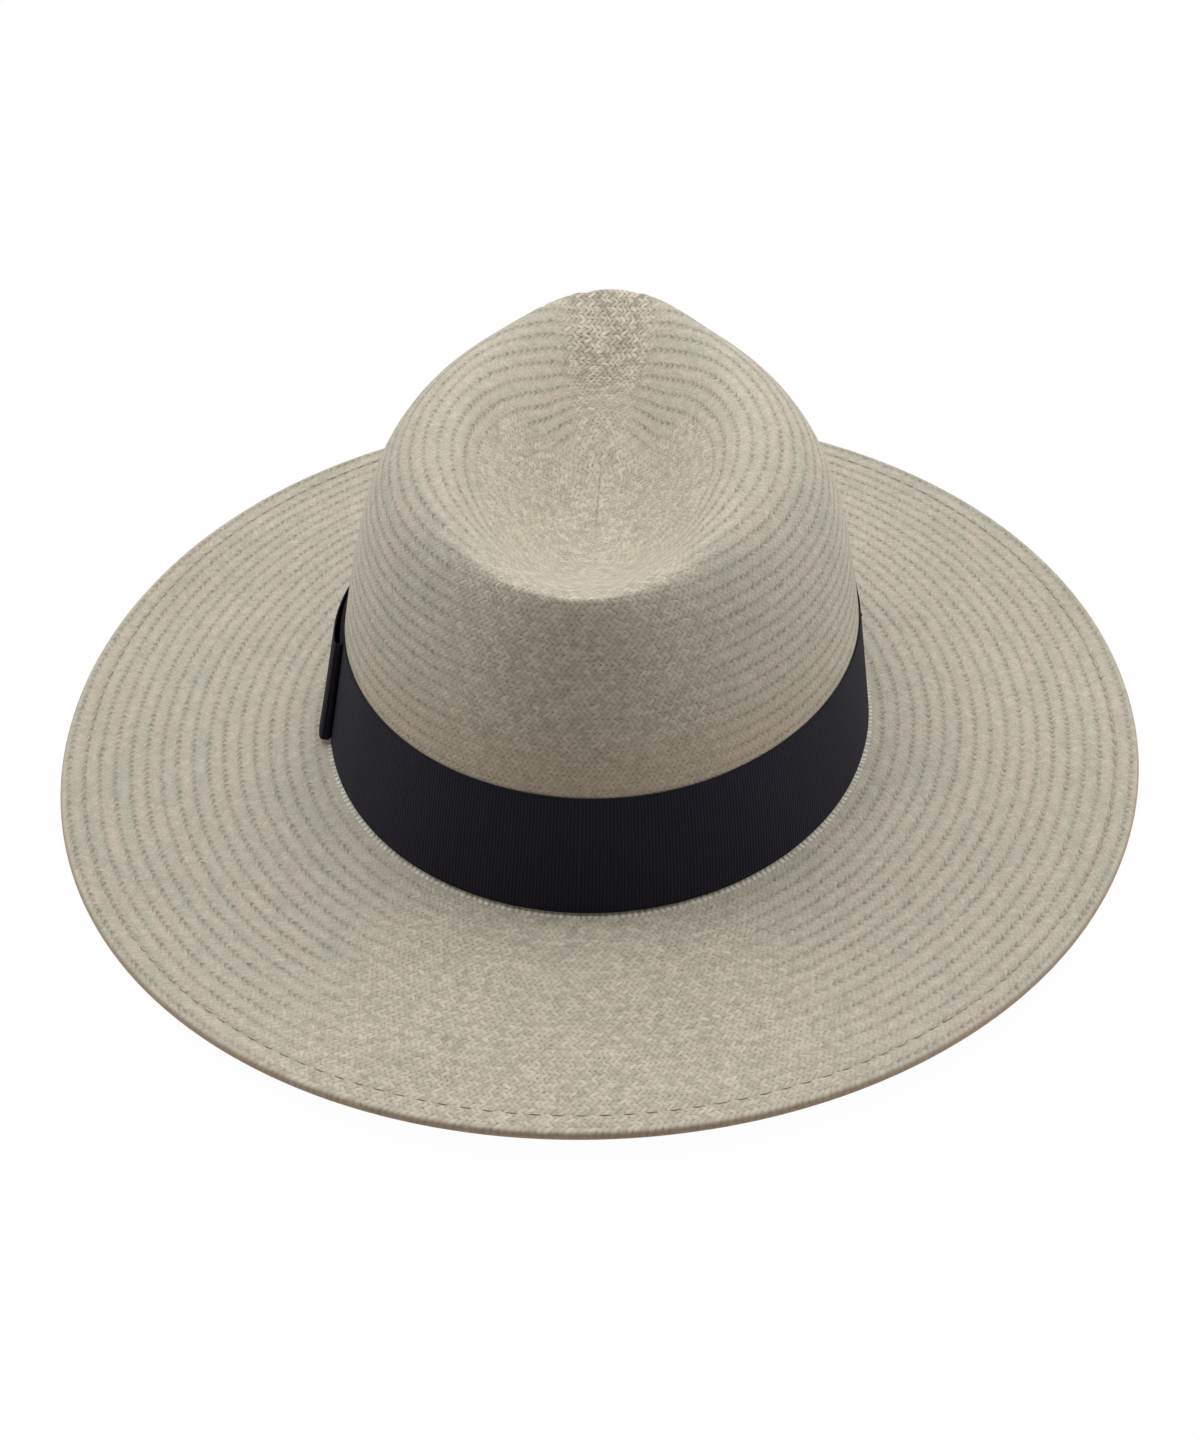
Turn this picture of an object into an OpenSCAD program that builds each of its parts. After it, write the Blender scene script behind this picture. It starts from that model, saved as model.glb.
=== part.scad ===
// Panama hat with a teardrop crown, a wide flat brim, a grosgrain band with a flat bow and a sweatband.
// Millimetres, +Z up, standing on its brim: the lowest points of the brim's edge lie at z = 0.
// +Y points to the back of the hat, -Y to the pinched front, and +X to the wearer's left, where the bow is.
// The origin lies on the floor under the middle of the head opening.
//
// Every meridian of the crown is named by an angle u: 0 at the back, 90 at the wearer's left, 180 at the front.

/* [Head opening] */
// Half the crown's width at its foot, over the straw
foot_half_width = 85.7; // [80:0.1:92]
// Half the crown's length at its foot, over the straw
foot_half_length = 104.6; // [97:0.1:112]
// Height of the brim's upper side where it meets the crown
foot_z = 11.0; // [9:0.1:16]
// Radius of the bend between crown and brim
foot_bend_r = 1.0; // [0.6:0.1:2]

/* [Crown] */
// Thickness of the woven straw
straw_t = 1.0; // [0.8:0.1:1.6]
// Inward lean of the wall at the sides of the foot, mm per mm of height
side_lean = 0.137; // [0.05:0.001:0.2]
// Inward lean of the wall at the front and back of the foot, mm per mm of height
end_lean = 0.15; // [0.05:0.001:0.2]
// Lean of the wall's lower part towards the wearer's right
crown_skew = 0.04; // [-0.1:0.01:0.1]
// Half the width of the crown's rim crest, at its middle
rim_half_width = 46.5; // [40:0.1:55]
// Reach of the rim crest towards the back
rim_back_y = 80.0; // [65:0.1:88]
// Reach of the rim crest towards the front
rim_front_y = 84.0; // [75:0.1:92]
// How much the rim narrows towards the front (teardrop)
rim_taper = 0.13; // [0:0.01:0.4]
// How much the rim's shoulders are drawn in between its ends and its middle
rim_hollow = 0.05; // [0:0.01:0.3]
// Height of the rim crest at the back
rim_back_z = 108.0; // [100:0.5:120]
// Height of the rim crest at the sides
rim_side_z = 116.5; // [105:0.5:122]
// Height of the rim crest at the front
rim_front_z = 118.0; // [105:0.5:125]
// Length of the straight part of the wall, as a share of the wall's height
wall_straight = 0.54; // [0.4:0.01:0.75]
// Breadth of the rounded shoulder at the sides, 0 is sharp
shoulder_side = 0.94; // [0.3:0.01:0.95]
// Breadth of the rounded shoulder at the back
shoulder_back = 0.2; // [0.1:0.01:0.8]
// Breadth of the rounded shoulder at the front
shoulder_front = 0.2; // [0.1:0.01:0.8]

/* [Dent and pinch] */
// Height of the dent's floor at the middle of the weave
dent_floor_z = 85.0; // [75:0.5:100]
// Place of the middle of the weave, towards the back
dent_centre_y = 8.0; // [-5:0.5:20]
// Roundness of the dent's upper edge at side, back and front
dent_lip = [0.3, 0.2, 0.2]; // [0.1:0.05:0.6]
// Flatness of the dent's floor at side, back and front
dent_floor_flat = [0.5, 0.6, 0.35]; // [0.2:0.05:0.8]
// Depth of the valley that runs from the dent to the front
valley_depth = 5.0; // [0:0.5:10]
// Half-width of that valley
valley_half_width = 15.0; // [8:0.5:25]
// Length over which the valley grows to its full depth
valley_run = 60.0; // [40:1:90]
// Depth of each of the two finger dents at the front
pinch_depth = 8.0; // [0:0.5:12]
// Angle of each finger dent from the front
pinch_angle = 33; // [25:1:55]
// Angular half-width of each finger dent
pinch_spread = 15; // [10:1:25]
// Share of the wall, from its foot, above which the finger dents begin
pinch_from = 0.35; // [0:0.01:0.5]

/* [Brim] */
// Width of the brim at the sides
brim_side_w = 86.8; // [60:0.1:110]
// Width of the brim at the front and back
brim_end_w = 92.6; // [60:0.1:115]
// Rise of the brim's edge at front and back against the sides
brim_wave_two = 0.8; // [0:0.1:3]
// Rise of the brim's edge at the back against the front
brim_wave_one = 1.9; // [0:0.1:3]
// Three-fold wave of the brim's edge
brim_wave_three = 0.4; // [0:0.1:3]
// Rise of the brim's edge at the wearer's right against the left
brim_skew_one = 0.8; // [0:0.1:3]
// Twist of the brim's edge, up at the back on the right and at the front on the left
brim_skew_two = 0.6; // [0:0.1:3]
// How much steeper the brim slopes beside the crown than on average
brim_sag = 0.35; // [0:0.05:0.8]
// Width of the hem folded under the brim's edge
hem_w = 9.0; // [6:0.5:14]
// Inner radius of the fold, which holds the edge reed
hem_channel_r = 0.5; // [0.4:0.05:1]
// Gap between the hem's two layers at its sewn side
hem_gap = 0.2; // [0.1:0.05:0.5]
// Radius of the edge reed
reed_r = 0.4; // [0.2:0.05:0.8]
// Distance of the hem's stitch line from the brim's edge
stitch_inset = 7.6; // [5:0.1:12]
// Number of stitches round the hem
stitch_count = 180; // [90:2:220]
// Length of one hem stitch
stitch_len = 3.4; // [2:0.1:5]
// Width of the thread
thread_w = 0.5; // [0.3:0.05:0.8]

/* [Ribbon and bow] */
// Height of the ribbon
ribbon_h = 38.0; // [20:0.5:50]
// Thickness of the ribbon
ribbon_t = 0.5; // [0.4:0.05:1]
// Gap between ribbon and straw
ribbon_gap = 0.1; // [0.05:0.05:0.4]
// Height of the ribbon's lower edge over the brim
ribbon_lift = 0.7; // [0.4:0.1:1.5]
// Turn of the bow's middle, from the back of the hat
bow_turn = 108; // [70:1:115]
// Length of the rear wing of the bow, from the middle of the knot
rear_wing_len = 55.0; // [30:0.5:60]
// Length of the front wing of the bow, from the middle of the knot
front_wing_len = 46.0; // [30:0.5:55]
// How far the rear wing stands out, at its lower and its upper edge
rear_wing_puff = [3.5, 2.8]; // [2:0.1:8]
// How far the front wing stands out, at its lower and its upper edge
front_wing_puff = [3.6, 2.8]; // [2:0.1:8]
// Height by which the wings' folded ends are smaller than the ribbon, above and below
wing_margin = 0.8; // [0:0.1:4]
// Height by which the wings are gathered at the knot, above and below
knot_margin = 6.5; // [0:0.1:8]
// Width of the knot
knot_w = 13.0; // [8:0.5:20]
// Height by which the knot is domed
knot_dome = 0.5; // [0:0.1:2]
// Clearance between the layers of the bow
bow_gap = 0.1; // [0.05:0.05:0.4]

/* [Sweatband] */
// Height of the sweatband
sweatband_h = 34.0; // [25:0.5:45]
// Thickness of the sweatband
sweatband_t = 1.1; // [0.7:0.1:2]
// Gap between sweatband and straw
sweatband_gap = 0.3; // [0.1:0.1:1]
// Height of the sweatband's lower edge over the brim's upper side
sweatband_lift = 2.6; // [2:0.1:5]
// Radius of the reed sewn to the sweatband's lower edge
sweat_reed_r = 0.7; // [0.5:0.05:1.2]
// Width of the tape over the join at the back
tape_w = 12.0; // [8:0.5:20]
// Thickness of that tape
tape_t = 0.5; // [0.3:0.1:1]
// Size of one loop of the small cord bow
cord_loop_r = 3.2; // [2:0.1:5]
// Radius of that bow's cord
cord_r = 0.5; // [0.3:0.1:1]
// Number of stitches along the sweatband's lower edge
seam_count = 96; // [60:2:120]

/* [Hidden] */

around = 72;            // meridians round the crown
dent_rows = 9;          // rows from the middle of the weave to the rim crest
wall_rows = 11;         // rows from the foot to the rim crest
brim_rows = 5;          // rows across the brim
bend_steps = 3;         // steps of the bend at the foot
edge_steps = 4;         // steps round the outside of the fold
channel_steps = 3;      // steps round the inside of the fold
tack_count = 8;         // thread bars along the ribbon's upper edge
skin = 0.05;            // clearance under a thread that lies on a surface
rim_mid_y = (rim_back_y - rim_front_y) / 2;
rim_half_y = (rim_back_y + rim_front_y) / 2;
rim_mean_z = (rim_back_z + rim_front_z) / 4 + rim_side_z / 2;
rim_tilt_z = (rim_back_z - rim_front_z) / 2;
rim_double_z = (rim_back_z + rim_front_z) / 4 - rim_side_z / 2;
edge_r = straw_t + hem_channel_r;
wall_foot_z = foot_z + foot_bend_r;
straw_colour = [0.69, 0.66, 0.59];
ribbon_colour = [0.11, 0.11, 0.12];
thread_colour = [0.78, 0.74, 0.64];
sweatband_colour = [0.80, 0.73, 0.61];
reed_colour = [0.85, 0.85, 0.82];

// ---------- small helpers ----------

function lerp(a, b, t) = a + (b - a) * t;
function unit(v) = v / norm(v);

// A cubic curve through a and d with the handles b and c.
function cubic(a, b, c, d, t) =
    pow(1 - t, 3) * a + 3 * t * pow(1 - t, 2) * b + 3 * t * t * (1 - t) * c + pow(t, 3) * d;

// A value that is side, back and front by turns on the way round the hat.
function by_turn(side, back, front, u) = lerp(side, cos(u) > 0 ? back : front, pow(cos(u), 2));

// Signed difference of two angles, from -180 to 180.
function turn_from(u, v) = (u - v + 540) % 360 - 180;

// ---------- the crown's surface ----------

// Foot of the meridian u, and its outward direction along the floor.
function foot(u) = [foot_half_width * sin(u), foot_half_length * cos(u), 0];
function outward(u) = unit([sin(u) / foot_half_width, cos(u) / foot_half_length, 0]);

function rim_z(u) = rim_mean_z + rim_tilt_z * cos(u) + rim_double_z * cos(2 * u);

function rim(u) =
    let (hollow = 1 - rim_hollow * pow(sin(u) * cos(u), 2))
    [
        rim_half_width * sin(u) * (1 + rim_taper * cos(u)) * hollow,
        rim_mid_y + rim_half_y * cos(u),
        rim_z(u)
    ];

// How strongly the front's finger dents press in on meridian u, at the share t of the wall.
function pinch(u, t) =
    let (
        off = (abs(turn_from(u, 180)) - pinch_angle) / pinch_spread,
        s = pow(max((t - pinch_from) / (1 - pinch_from), 0), 0.8)
    )
    pinch_depth * exp(-off * off) * pow(max(4 * s * (1 - s), 0), 1.5);

// The wall from the foot (t = 0) to the rim crest (t = 1).
function wall(u, t) =
    let (
        start = foot(u) + [0, 0, wall_foot_z],
        crest = rim(u),
        rise = wall_straight * (crest.z - wall_foot_z),
        straight = start + rise * [-side_lean * sin(u) - crown_skew, -end_lean * cos(u), 1],
        broad = by_turn(shoulder_side, shoulder_back, shoulder_front, u),
        shoulder = [
            lerp(crest.x, straight.x, broad),
            lerp(crest.y, straight.y, broad),
            crest.z
        ]
    )
    cubic(start, straight, shoulder, crest, t) - pinch(u, t) * outward(u);

// The dent from the rim crest (r = 1) to the middle of the weave (r = 0).
function dent(u, r) =
    let (
        crest = rim(u),
        centre = [0, dent_centre_y, dent_floor_z],
        lip = by_turn(dent_lip[0], dent_lip[1], dent_lip[2], u),
        flat_part = by_turn(dent_floor_flat[0], dent_floor_flat[1], dent_floor_flat[2], u),
        lip_point = [lerp(crest.x, centre.x, lip), lerp(crest.y, centre.y, lip), crest.z],
        floor_point = [
            lerp(centre.x, crest.x, flat_part),
            lerp(centre.y, crest.y, flat_part),
            centre.z
        ],
        p = cubic(crest, lip_point, floor_point, centre, 1 - r),
        run = min(max((centre.y - p.y) / valley_run, 0), 1),
        across = exp(-pow(p.x / valley_half_width, 2))
    )
    p - [0, 0, valley_depth * across * run * sin(180 * pow(1 - r, 0.8))];

// ---------- the brim's surface ----------

function edge_wave(u) =
    brim_wave_one * cos(u) + brim_wave_two * cos(2 * u) + brim_wave_three * cos(3 * u)
    - brim_skew_one * sin(u) - brim_skew_two * sin(2 * u);
lowest_wave = min([for (i = [0:359]) edge_wave(i)]);

// Height of the brim's upper side at its edge; the fold under it reaches down to the floor.
function edge_z(u) = 2 * edge_r + edge_wave(u) - lowest_wave;
function brim_w(u) = by_turn(brim_side_w, brim_end_w, brim_end_w, u);

// Upper side of the brim, at the distance d outside the crown's foot.
function brim_top(u, d) =
    let (s = (d - foot_bend_r) / (brim_w(u) - foot_bend_r))
    foot(u) + d * outward(u) + [0, 0, lerp(foot_z, edge_z(u), s * (1 + brim_sag * (1 - s)))];

// A point of the brim's section near the edge: distance in from the edge and drop below the edge's top.
function edge_point(u, inset, drop) =
    let (base = brim_top(u, brim_w(u) - inset))
    base - [0, 0, drop];

// ---------- rows of points on the straw ----------

function ring(row) = [for (i = [0:around - 1]) let (u = 360 * i / around) row(u)];

dent_ring = [for (j = [1:dent_rows]) ring(function (u) dent(u, j / dent_rows))];
wall_ring = [for (j = [1:wall_rows]) ring(function (u) wall(u, 1 - j / wall_rows))];
bend_ring = [
    for (j = [1:bend_steps])
        let (a = 90 * j / bend_steps)
        ring(function (u)
            foot(u) + foot_bend_r * (1 - cos(a)) * outward(u)
            + [0, 0, foot_z + foot_bend_r * (1 - sin(a))])
];
brim_ring = [
    for (j = [1:brim_rows])
        ring(function (u) brim_top(u, lerp(foot_bend_r, brim_w(u) - edge_r, j / brim_rows)))
];
outer_rings = concat(dent_ring, wall_ring, bend_ring, brim_ring);

// Outward normal of the grid at ring j and meridian i.
function grid_normal(rings, j, i) =
    let (
        before = rings[max(j - 1, 0)][i],
        after = rings[min(j + 1, len(rings) - 1)][i],
        left = rings[j][(i + around - 1) % around],
        right = rings[j][(i + 1) % around]
    )
    unit(cross(right - left, after - before));

// The same rings pushed in by the straw's thickness.
inner_rings = [
    for (j = [0:len(outer_rings) - 1])
        [for (i = [0:around - 1]) outer_rings[j][i] - straw_t * grid_normal(outer_rings, j, i)]
];

// Rings round the fold: its outside, the hem's lower and upper side, then the channel for the reed.
fold_out = [
    for (k = [1:edge_steps])
        let (a = 180 * k / edge_steps)
        ring(function (u) edge_point(u, edge_r * (1 - sin(a)), edge_r * (1 - cos(a))))
];
hem_low = [ring(function (u) edge_point(u, hem_w, 2 * straw_t + hem_gap))];
hem_high = [ring(function (u) edge_point(u, hem_w, straw_t + hem_gap))];
fold_in = [
    for (k = [0:channel_steps - 1])
        let (a = 180 * (1 - k / channel_steps))
        ring(function (u)
            edge_point(u, edge_r - hem_channel_r * sin(a), edge_r - hem_channel_r * cos(a)))
];

function backwards(list) = [for (k = [len(list) - 1:-1:0]) list[k]];

// ---------- closed solids from rings of points ----------

// Faces between ring j and the next one, all meridians joined in a loop.
function band_faces(j, next) = [
    for (i = [0:around - 1])
        let (n = (i + 1) % around)
        each [
            [j * around + i, next * around + n, next * around + i],
            [j * around + i, j * around + n, next * around + n]
        ]
];

// A solid whose section is a closed loop of rings, such as a band or a ring.
module looped(rings) {
    count = len(rings);
    polyhedron(
        points = [for (r = rings) each r],
        faces = [for (j = [0:count - 1]) each band_faces(j, (j + 1) % count)],
        convexity = 6
    );
}

// A solid closed by one point at each end of its row of rings.
module capped(rings, first, last) {
    count = len(rings);
    first_id = count * around;
    last_id = first_id + 1;
    end = (count - 1) * around;
    polyhedron(
        points = concat([for (r = rings) each r], [first, last]),
        faces = concat(
            [for (j = [0:count - 2]) each band_faces(j, j + 1)],
            [for (i = [0:around - 1]) [first_id, (i + 1) % around, i]],
            [for (i = [0:around - 1]) [last_id, end + i, end + (i + 1) % around]]
        ),
        convexity = 10
    );
}

// A solid lofted through sections with the same number of corners, flat at both ends.
module lofted(sections) {
    count = len(sections);
    corners = len(sections[0]);
    polyhedron(
        points = [for (s = sections) each s],
        faces = concat(
            [[for (k = [corners - 1:-1:0]) k]],
            [
                for (j = [0:count - 2], k = [0:corners - 1])
                    let (n = (k + 1) % corners, a = j * corners, b = (j + 1) * corners)
                    each [[a + k, a + n, b + n], [a + k, b + n, b + k]]
            ],
            [[for (k = [0:corners - 1]) (count - 1) * corners + k]]
        ),
        convexity = 6
    );
}

// ---------- bands that follow the wall ----------

// Share t of the wall at which meridian u reaches the height z, found by halving.
function wall_share(u, z, low = 0, high = 0.8, turns = 14) =
    turns == 0 ? (low + high) / 2 :
    let (mid = (low + high) / 2)
    wall(u, mid).z < z
        ? wall_share(u, z, mid, high, turns - 1)
        : wall_share(u, z, low, mid, turns - 1);

// A point at the height z on meridian u, the distance off outside the straw.
function beside_wall(u, z, off) =
    let (p = wall(u, wall_share(u, z)), lean = by_turn(side_lean, end_lean, end_lean, u))
    p + off * unit(outward(u) + [0, 0, lean]);

module wall_band(z_low, z_high, inner_off, outer_off) {
    z_mid = (z_low + z_high) / 2;
    looped([
        ring(function (u) beside_wall(u, z_low, outer_off)),
        ring(function (u) beside_wall(u, z_mid, outer_off)),
        ring(function (u) beside_wall(u, z_high, outer_off)),
        ring(function (u) beside_wall(u, z_high, inner_off)),
        ring(function (u) beside_wall(u, z_mid, inner_off)),
        ring(function (u) beside_wall(u, z_low, inner_off))
    ]);
}

// A round ring of radius r whose middle is given by a function of the meridian.
module round_ring(middle, r, sides = 6) {
    looped([
        for (k = [0:sides - 1])
            let (a = -360 * k / sides)
            ring(function (u) middle(u) + r * (cos(a) * outward(u) + [0, 0, sin(a)]))
    ]);
}

// Puts a child on a surface: x along the tangent, y outwards along the surface, z along its normal.
module seated(p, tangent, normal) {
    side = cross(normal, tangent);
    multmatrix([
        [tangent.x, side.x, normal.x, p.x],
        [tangent.y, side.y, normal.y, p.y],
        [tangent.z, side.z, normal.z, p.z],
        [0, 0, 0, 1]
    ]) children();
}

// A flat bar of thread.
module stitch(long, w) {
    translate([-long / 2, -w / 2, skin]) cube([long, w, w * 0.7]);
}

// ---------- straw ----------

module straw_body() {
    color(straw_colour)
    capped(
        concat(outer_rings, fold_out, hem_low, hem_high, fold_in, backwards(inner_rings)),
        [0, dent_centre_y, dent_floor_z],
        [0, dent_centre_y, dent_floor_z - straw_t]
    );
}

module brim_reed() {
    color(reed_colour)
    round_ring(function (u) edge_point(u, edge_r, edge_r), reed_r);
}

module hem_stitches() {
    color(thread_colour)
    for (k = [0:stitch_count - 1]) {
        u = 360 * k / stitch_count;
        here = edge_point(u, stitch_inset, 0);
        tangent = unit(edge_point(u - 0.5, stitch_inset, 0) - here);
        inward = unit(edge_point(u, stitch_inset + 1, 0) - here);
        seated(here, tangent, unit(cross(tangent, inward))) stitch(stitch_len, thread_w);
    }
}

// ---------- ribbon and bow ----------

ribbon_low_z = foot_z + ribbon_lift;
ribbon_high_z = ribbon_low_z + ribbon_h;
ribbon_out = ribbon_gap + ribbon_t;
knot_overlap = 1.4;     // height by which the knot reaches past the gathered wings
knot_low_z = ribbon_low_z + knot_margin - knot_overlap;
knot_high_z = ribbon_high_z - knot_margin + knot_overlap;

module ribbon_band() {
    color(ribbon_colour)
    wall_band(ribbon_low_z, ribbon_high_z, ribbon_gap, ribbon_out);
}

// Small thread bars near the ribbon's upper edge, with the bow in the widest space between them.
module ribbon_tacks() {
    z = ribbon_high_z - 1.6;
    color(ribbon_colour)
    for (k = [1:tack_count]) {
        u = bow_turn + 360 * k / (tack_count + 1);
        here = beside_wall(u, z, ribbon_out);
        tangent = unit(beside_wall(u - 0.5, z, ribbon_out) - here);
        upward = unit(beside_wall(u, z + 1, ribbon_out) - here);
        seated(here, tangent, unit(cross(tangent, upward))) stitch(2.2, 0.35);
    }
}

// A point of the bow: s along the wall from the knot towards the back, off outside the ribbon.
function bow_point(s, z, off) =
    beside_wall(bow_turn - s / foot_half_length * 180 / PI, z, ribbon_out + off);

// Middle line of one wing: under layer out to the fold, then the upper layer back over the puff.
wing_root = 2;
wing_steps = 10;
wing_fullness = 0.45;   // below 1 the wing stands out most near its folded end
under_off = ribbon_t / 2 + bow_gap;
upper_off = ribbon_t * 1.5 + 2 * bow_gap;
function wing_path(reach, puff) = concat(
    [for (k = [0:wing_steps]) [lerp(wing_root, reach - 1, k / wing_steps), under_off]],
    [
        for (k = [0:wing_steps])
            let (q = k / wing_steps)
            [
                lerp(reach, knot_w / 2, 1 - cos(90 * q)),
                upper_off + (puff - upper_off) * sin(180 * pow(q, wing_fullness))
            ]
    ],
    [[wing_root, upper_off]]
);

// The strip's inner and outer side at step k of such a line.
function strip_sides(path, k) =
    let (
        before = path[max(k - 1, 0)],
        after = path[min(k + 1, len(path) - 1)],
        along = unit(after - before),
        side = [-along.y, along.x] * ribbon_t / 2
    )
    [path[k] - side, path[k] + side];

// How much smaller a wing is than the ribbon, above and below, at a share of its reach.
function gather(share) = lerp(knot_margin, wing_margin, pow(min(max(share, 0), 1), 0.7));

// One wing as a strip of ribbon along its lower and upper line; dir is 1 towards the back, -1 to the front.
module wing(reach, puff, dir) {
    low_path = wing_path(reach, puff[0]);
    high_path = wing_path(reach, puff[1]);
    color(ribbon_colour)
    lofted([
        for (k = [0:len(low_path) - 1])
            let (
                low = strip_sides(low_path, k),
                high = strip_sides(high_path, k),
                margin = gather(low_path[k].x / reach),
                low_z = ribbon_low_z + margin,
                high_z = ribbon_high_z - margin,
                corners = [
                    bow_point(dir * low[0].x, low_z, low[0].y),
                    bow_point(dir * low[1].x, low_z, low[1].y),
                    bow_point(dir * high[1].x, high_z, high[1].y),
                    bow_point(dir * high[0].x, high_z, high[0].y)
                ]
            )
            dir > 0 ? backwards(corners) : corners
    ]);
}

module bow_rear_wing() { wing(rear_wing_len, rear_wing_puff, 1); }
module bow_front_wing() { wing(front_wing_len, front_wing_puff, -1); }

// The knot's strip lies over the wings' roots, slightly domed.
module bow_knot() {
    crest = upper_off + ribbon_t / 2 + bow_gap;
    steps = 8;
    color(ribbon_colour)
    lofted([
        for (k = [0:steps])
            let (
                s = lerp(-knot_w / 2, knot_w / 2, k / steps),
                off = crest + knot_dome * cos(180 * s / knot_w)
            )
            [
                bow_point(s, knot_low_z, off),
                bow_point(s, knot_high_z, off),
                bow_point(s, knot_high_z, off + ribbon_t),
                bow_point(s, knot_low_z, off + ribbon_t)
            ]
    ]);
}

// ---------- sweatband ----------

sweatband_low_z = foot_z + sweatband_lift;
sweatband_out = -(straw_t + sweatband_gap);
sweatband_in = sweatband_out - sweatband_t;
sweatband_high_z = sweatband_low_z + sweatband_h;

module sweatband() {
    color(sweatband_colour)
    wall_band(sweatband_low_z, sweatband_high_z, sweatband_in, sweatband_out);
}

module sweatband_reed() {
    color(reed_colour)
    round_ring(
        function (u)
            beside_wall(u, sweatband_low_z, (sweatband_in + sweatband_out) / 2)
            - [0, 0, sweat_reed_r + skin],
        sweat_reed_r
    );
}

module sweatband_stitches() {
    seam_z = sweatband_low_z + 2.2;
    color(thread_colour)
    for (k = [0:seam_count - 1]) {
        u = 360 * (k + 0.5) / seam_count;
        here = beside_wall(u, seam_z, sweatband_in);
        tangent = unit(beside_wall(u + 0.5, seam_z, sweatband_in) - here);
        upward = unit(beside_wall(u, seam_z + 1, sweatband_in) - here);
        seated(here, tangent, unit(cross(tangent, upward))) stitch(2.6, 0.4);
    }
}

// A tape over the join of the sweatband's ends, at the back.
module sweatband_tape() {
    steps = 4;
    half_turn = tape_w / 2 / foot_half_width * 180 / PI;
    off = sweatband_in - skin;
    color(sweatband_colour * 0.85)
    lofted([
        for (k = [0:steps])
            let (u = lerp(-half_turn, half_turn, k / steps))
            [
                beside_wall(u, sweatband_low_z + 3.4, off),
                beside_wall(u, sweatband_low_z + 3.4, off - tape_t),
                beside_wall(u, sweatband_high_z - 0.6, off - tape_t),
                beside_wall(u, sweatband_high_z - 0.6, off)
            ]
    ]);
}

// Two loops, two ends and a knot of cord on the tape, lifted clear of the band's curve at the back.
module sweatband_bow() {
    bow_z = sweatband_low_z + 0.62 * sweatband_h;
    back_curve_r = pow(foot_half_width, 2) / foot_half_length;
    lift = pow(2 * (cord_loop_r + cord_r), 2) / (2 * back_curve_r) + 2 * skin;
    here = beside_wall(0, bow_z, sweatband_in - tape_t - skin);
    upward = unit(beside_wall(0, bow_z + 1, sweatband_in - tape_t - skin) - here);
    knot_r = cord_r * 1.6;
    color(ribbon_colour)
    seated(here, [1, 0, 0], unit(cross([1, 0, 0], upward)))
    translate([0, 0, cord_r + lift]) {
        for (side = [-1, 1]) {
            translate([side * (cord_loop_r + cord_r), 0.8, 0])
                rotate_extrude($fn = 24) translate([cord_loop_r, 0]) circle(r = cord_r, $fn = 13);
            rotate([0, 0, side * 28])
                rotate([90, 0, 0]) cylinder(r = cord_r, h = 3.2 * cord_loop_r, $fn = 13);
        }
        translate([-knot_r, -knot_r, -cord_r]) cube([2 * knot_r, 2 * knot_r, 2 * cord_r + 0.4]);
    }
}

straw_body();
brim_reed();
hem_stitches();
ribbon_band();
ribbon_tacks();
bow_rear_wing();
bow_front_wing();
bow_knot();
sweatband();
sweatband_reed();
sweatband_stitches();
sweatband_tape();
sweatband_bow();
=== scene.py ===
"""Panama hat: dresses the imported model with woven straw, grosgrain, leather and thread."""

import logging
from dataclasses import dataclass
from enum import Enum
from math import cos, pi, radians, sin
from typing import Callable, Optional, Sequence, Union

import bpy
import numpy as np
from mathutils import Matrix, Vector


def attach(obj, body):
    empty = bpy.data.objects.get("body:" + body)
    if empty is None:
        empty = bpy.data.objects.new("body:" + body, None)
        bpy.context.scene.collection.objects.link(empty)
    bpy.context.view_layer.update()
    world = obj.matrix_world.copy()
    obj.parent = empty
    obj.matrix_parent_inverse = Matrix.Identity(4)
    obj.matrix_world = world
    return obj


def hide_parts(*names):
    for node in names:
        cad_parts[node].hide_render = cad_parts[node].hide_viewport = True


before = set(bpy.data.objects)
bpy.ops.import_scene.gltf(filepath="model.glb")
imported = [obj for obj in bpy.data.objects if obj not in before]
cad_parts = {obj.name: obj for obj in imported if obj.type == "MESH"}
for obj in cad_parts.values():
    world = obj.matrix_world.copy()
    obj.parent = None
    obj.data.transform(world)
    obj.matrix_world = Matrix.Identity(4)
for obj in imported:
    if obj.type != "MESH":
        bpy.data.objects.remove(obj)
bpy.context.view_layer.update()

log = logging.getLogger("panama_hat")

MM = 0.001
Array = np.ndarray
Colour = tuple[float, float, float]


# ---------------------------------------------------------------- shader graph


def operator(operation: str, swapped: bool = False) -> Callable[..., "Wire"]:
    """Makes a method of Wire that adds a Math node.

    Args:
        operation: The node's operation.
        swapped: Whether the wire is the second of the node's two values.

    Returns:
        The method.
    """

    def add_node(wire: "Wire", other: "Number" = 0.0) -> "Wire":
        """Adds the node and gives its result."""
        first, second = (other, wire) if swapped else (wire, other)
        node = wire.graph.node("ShaderNodeMath", {"operation": operation}, {0: first, 1: second})
        return Wire(wire.graph, node.outputs[0])

    return add_node


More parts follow.
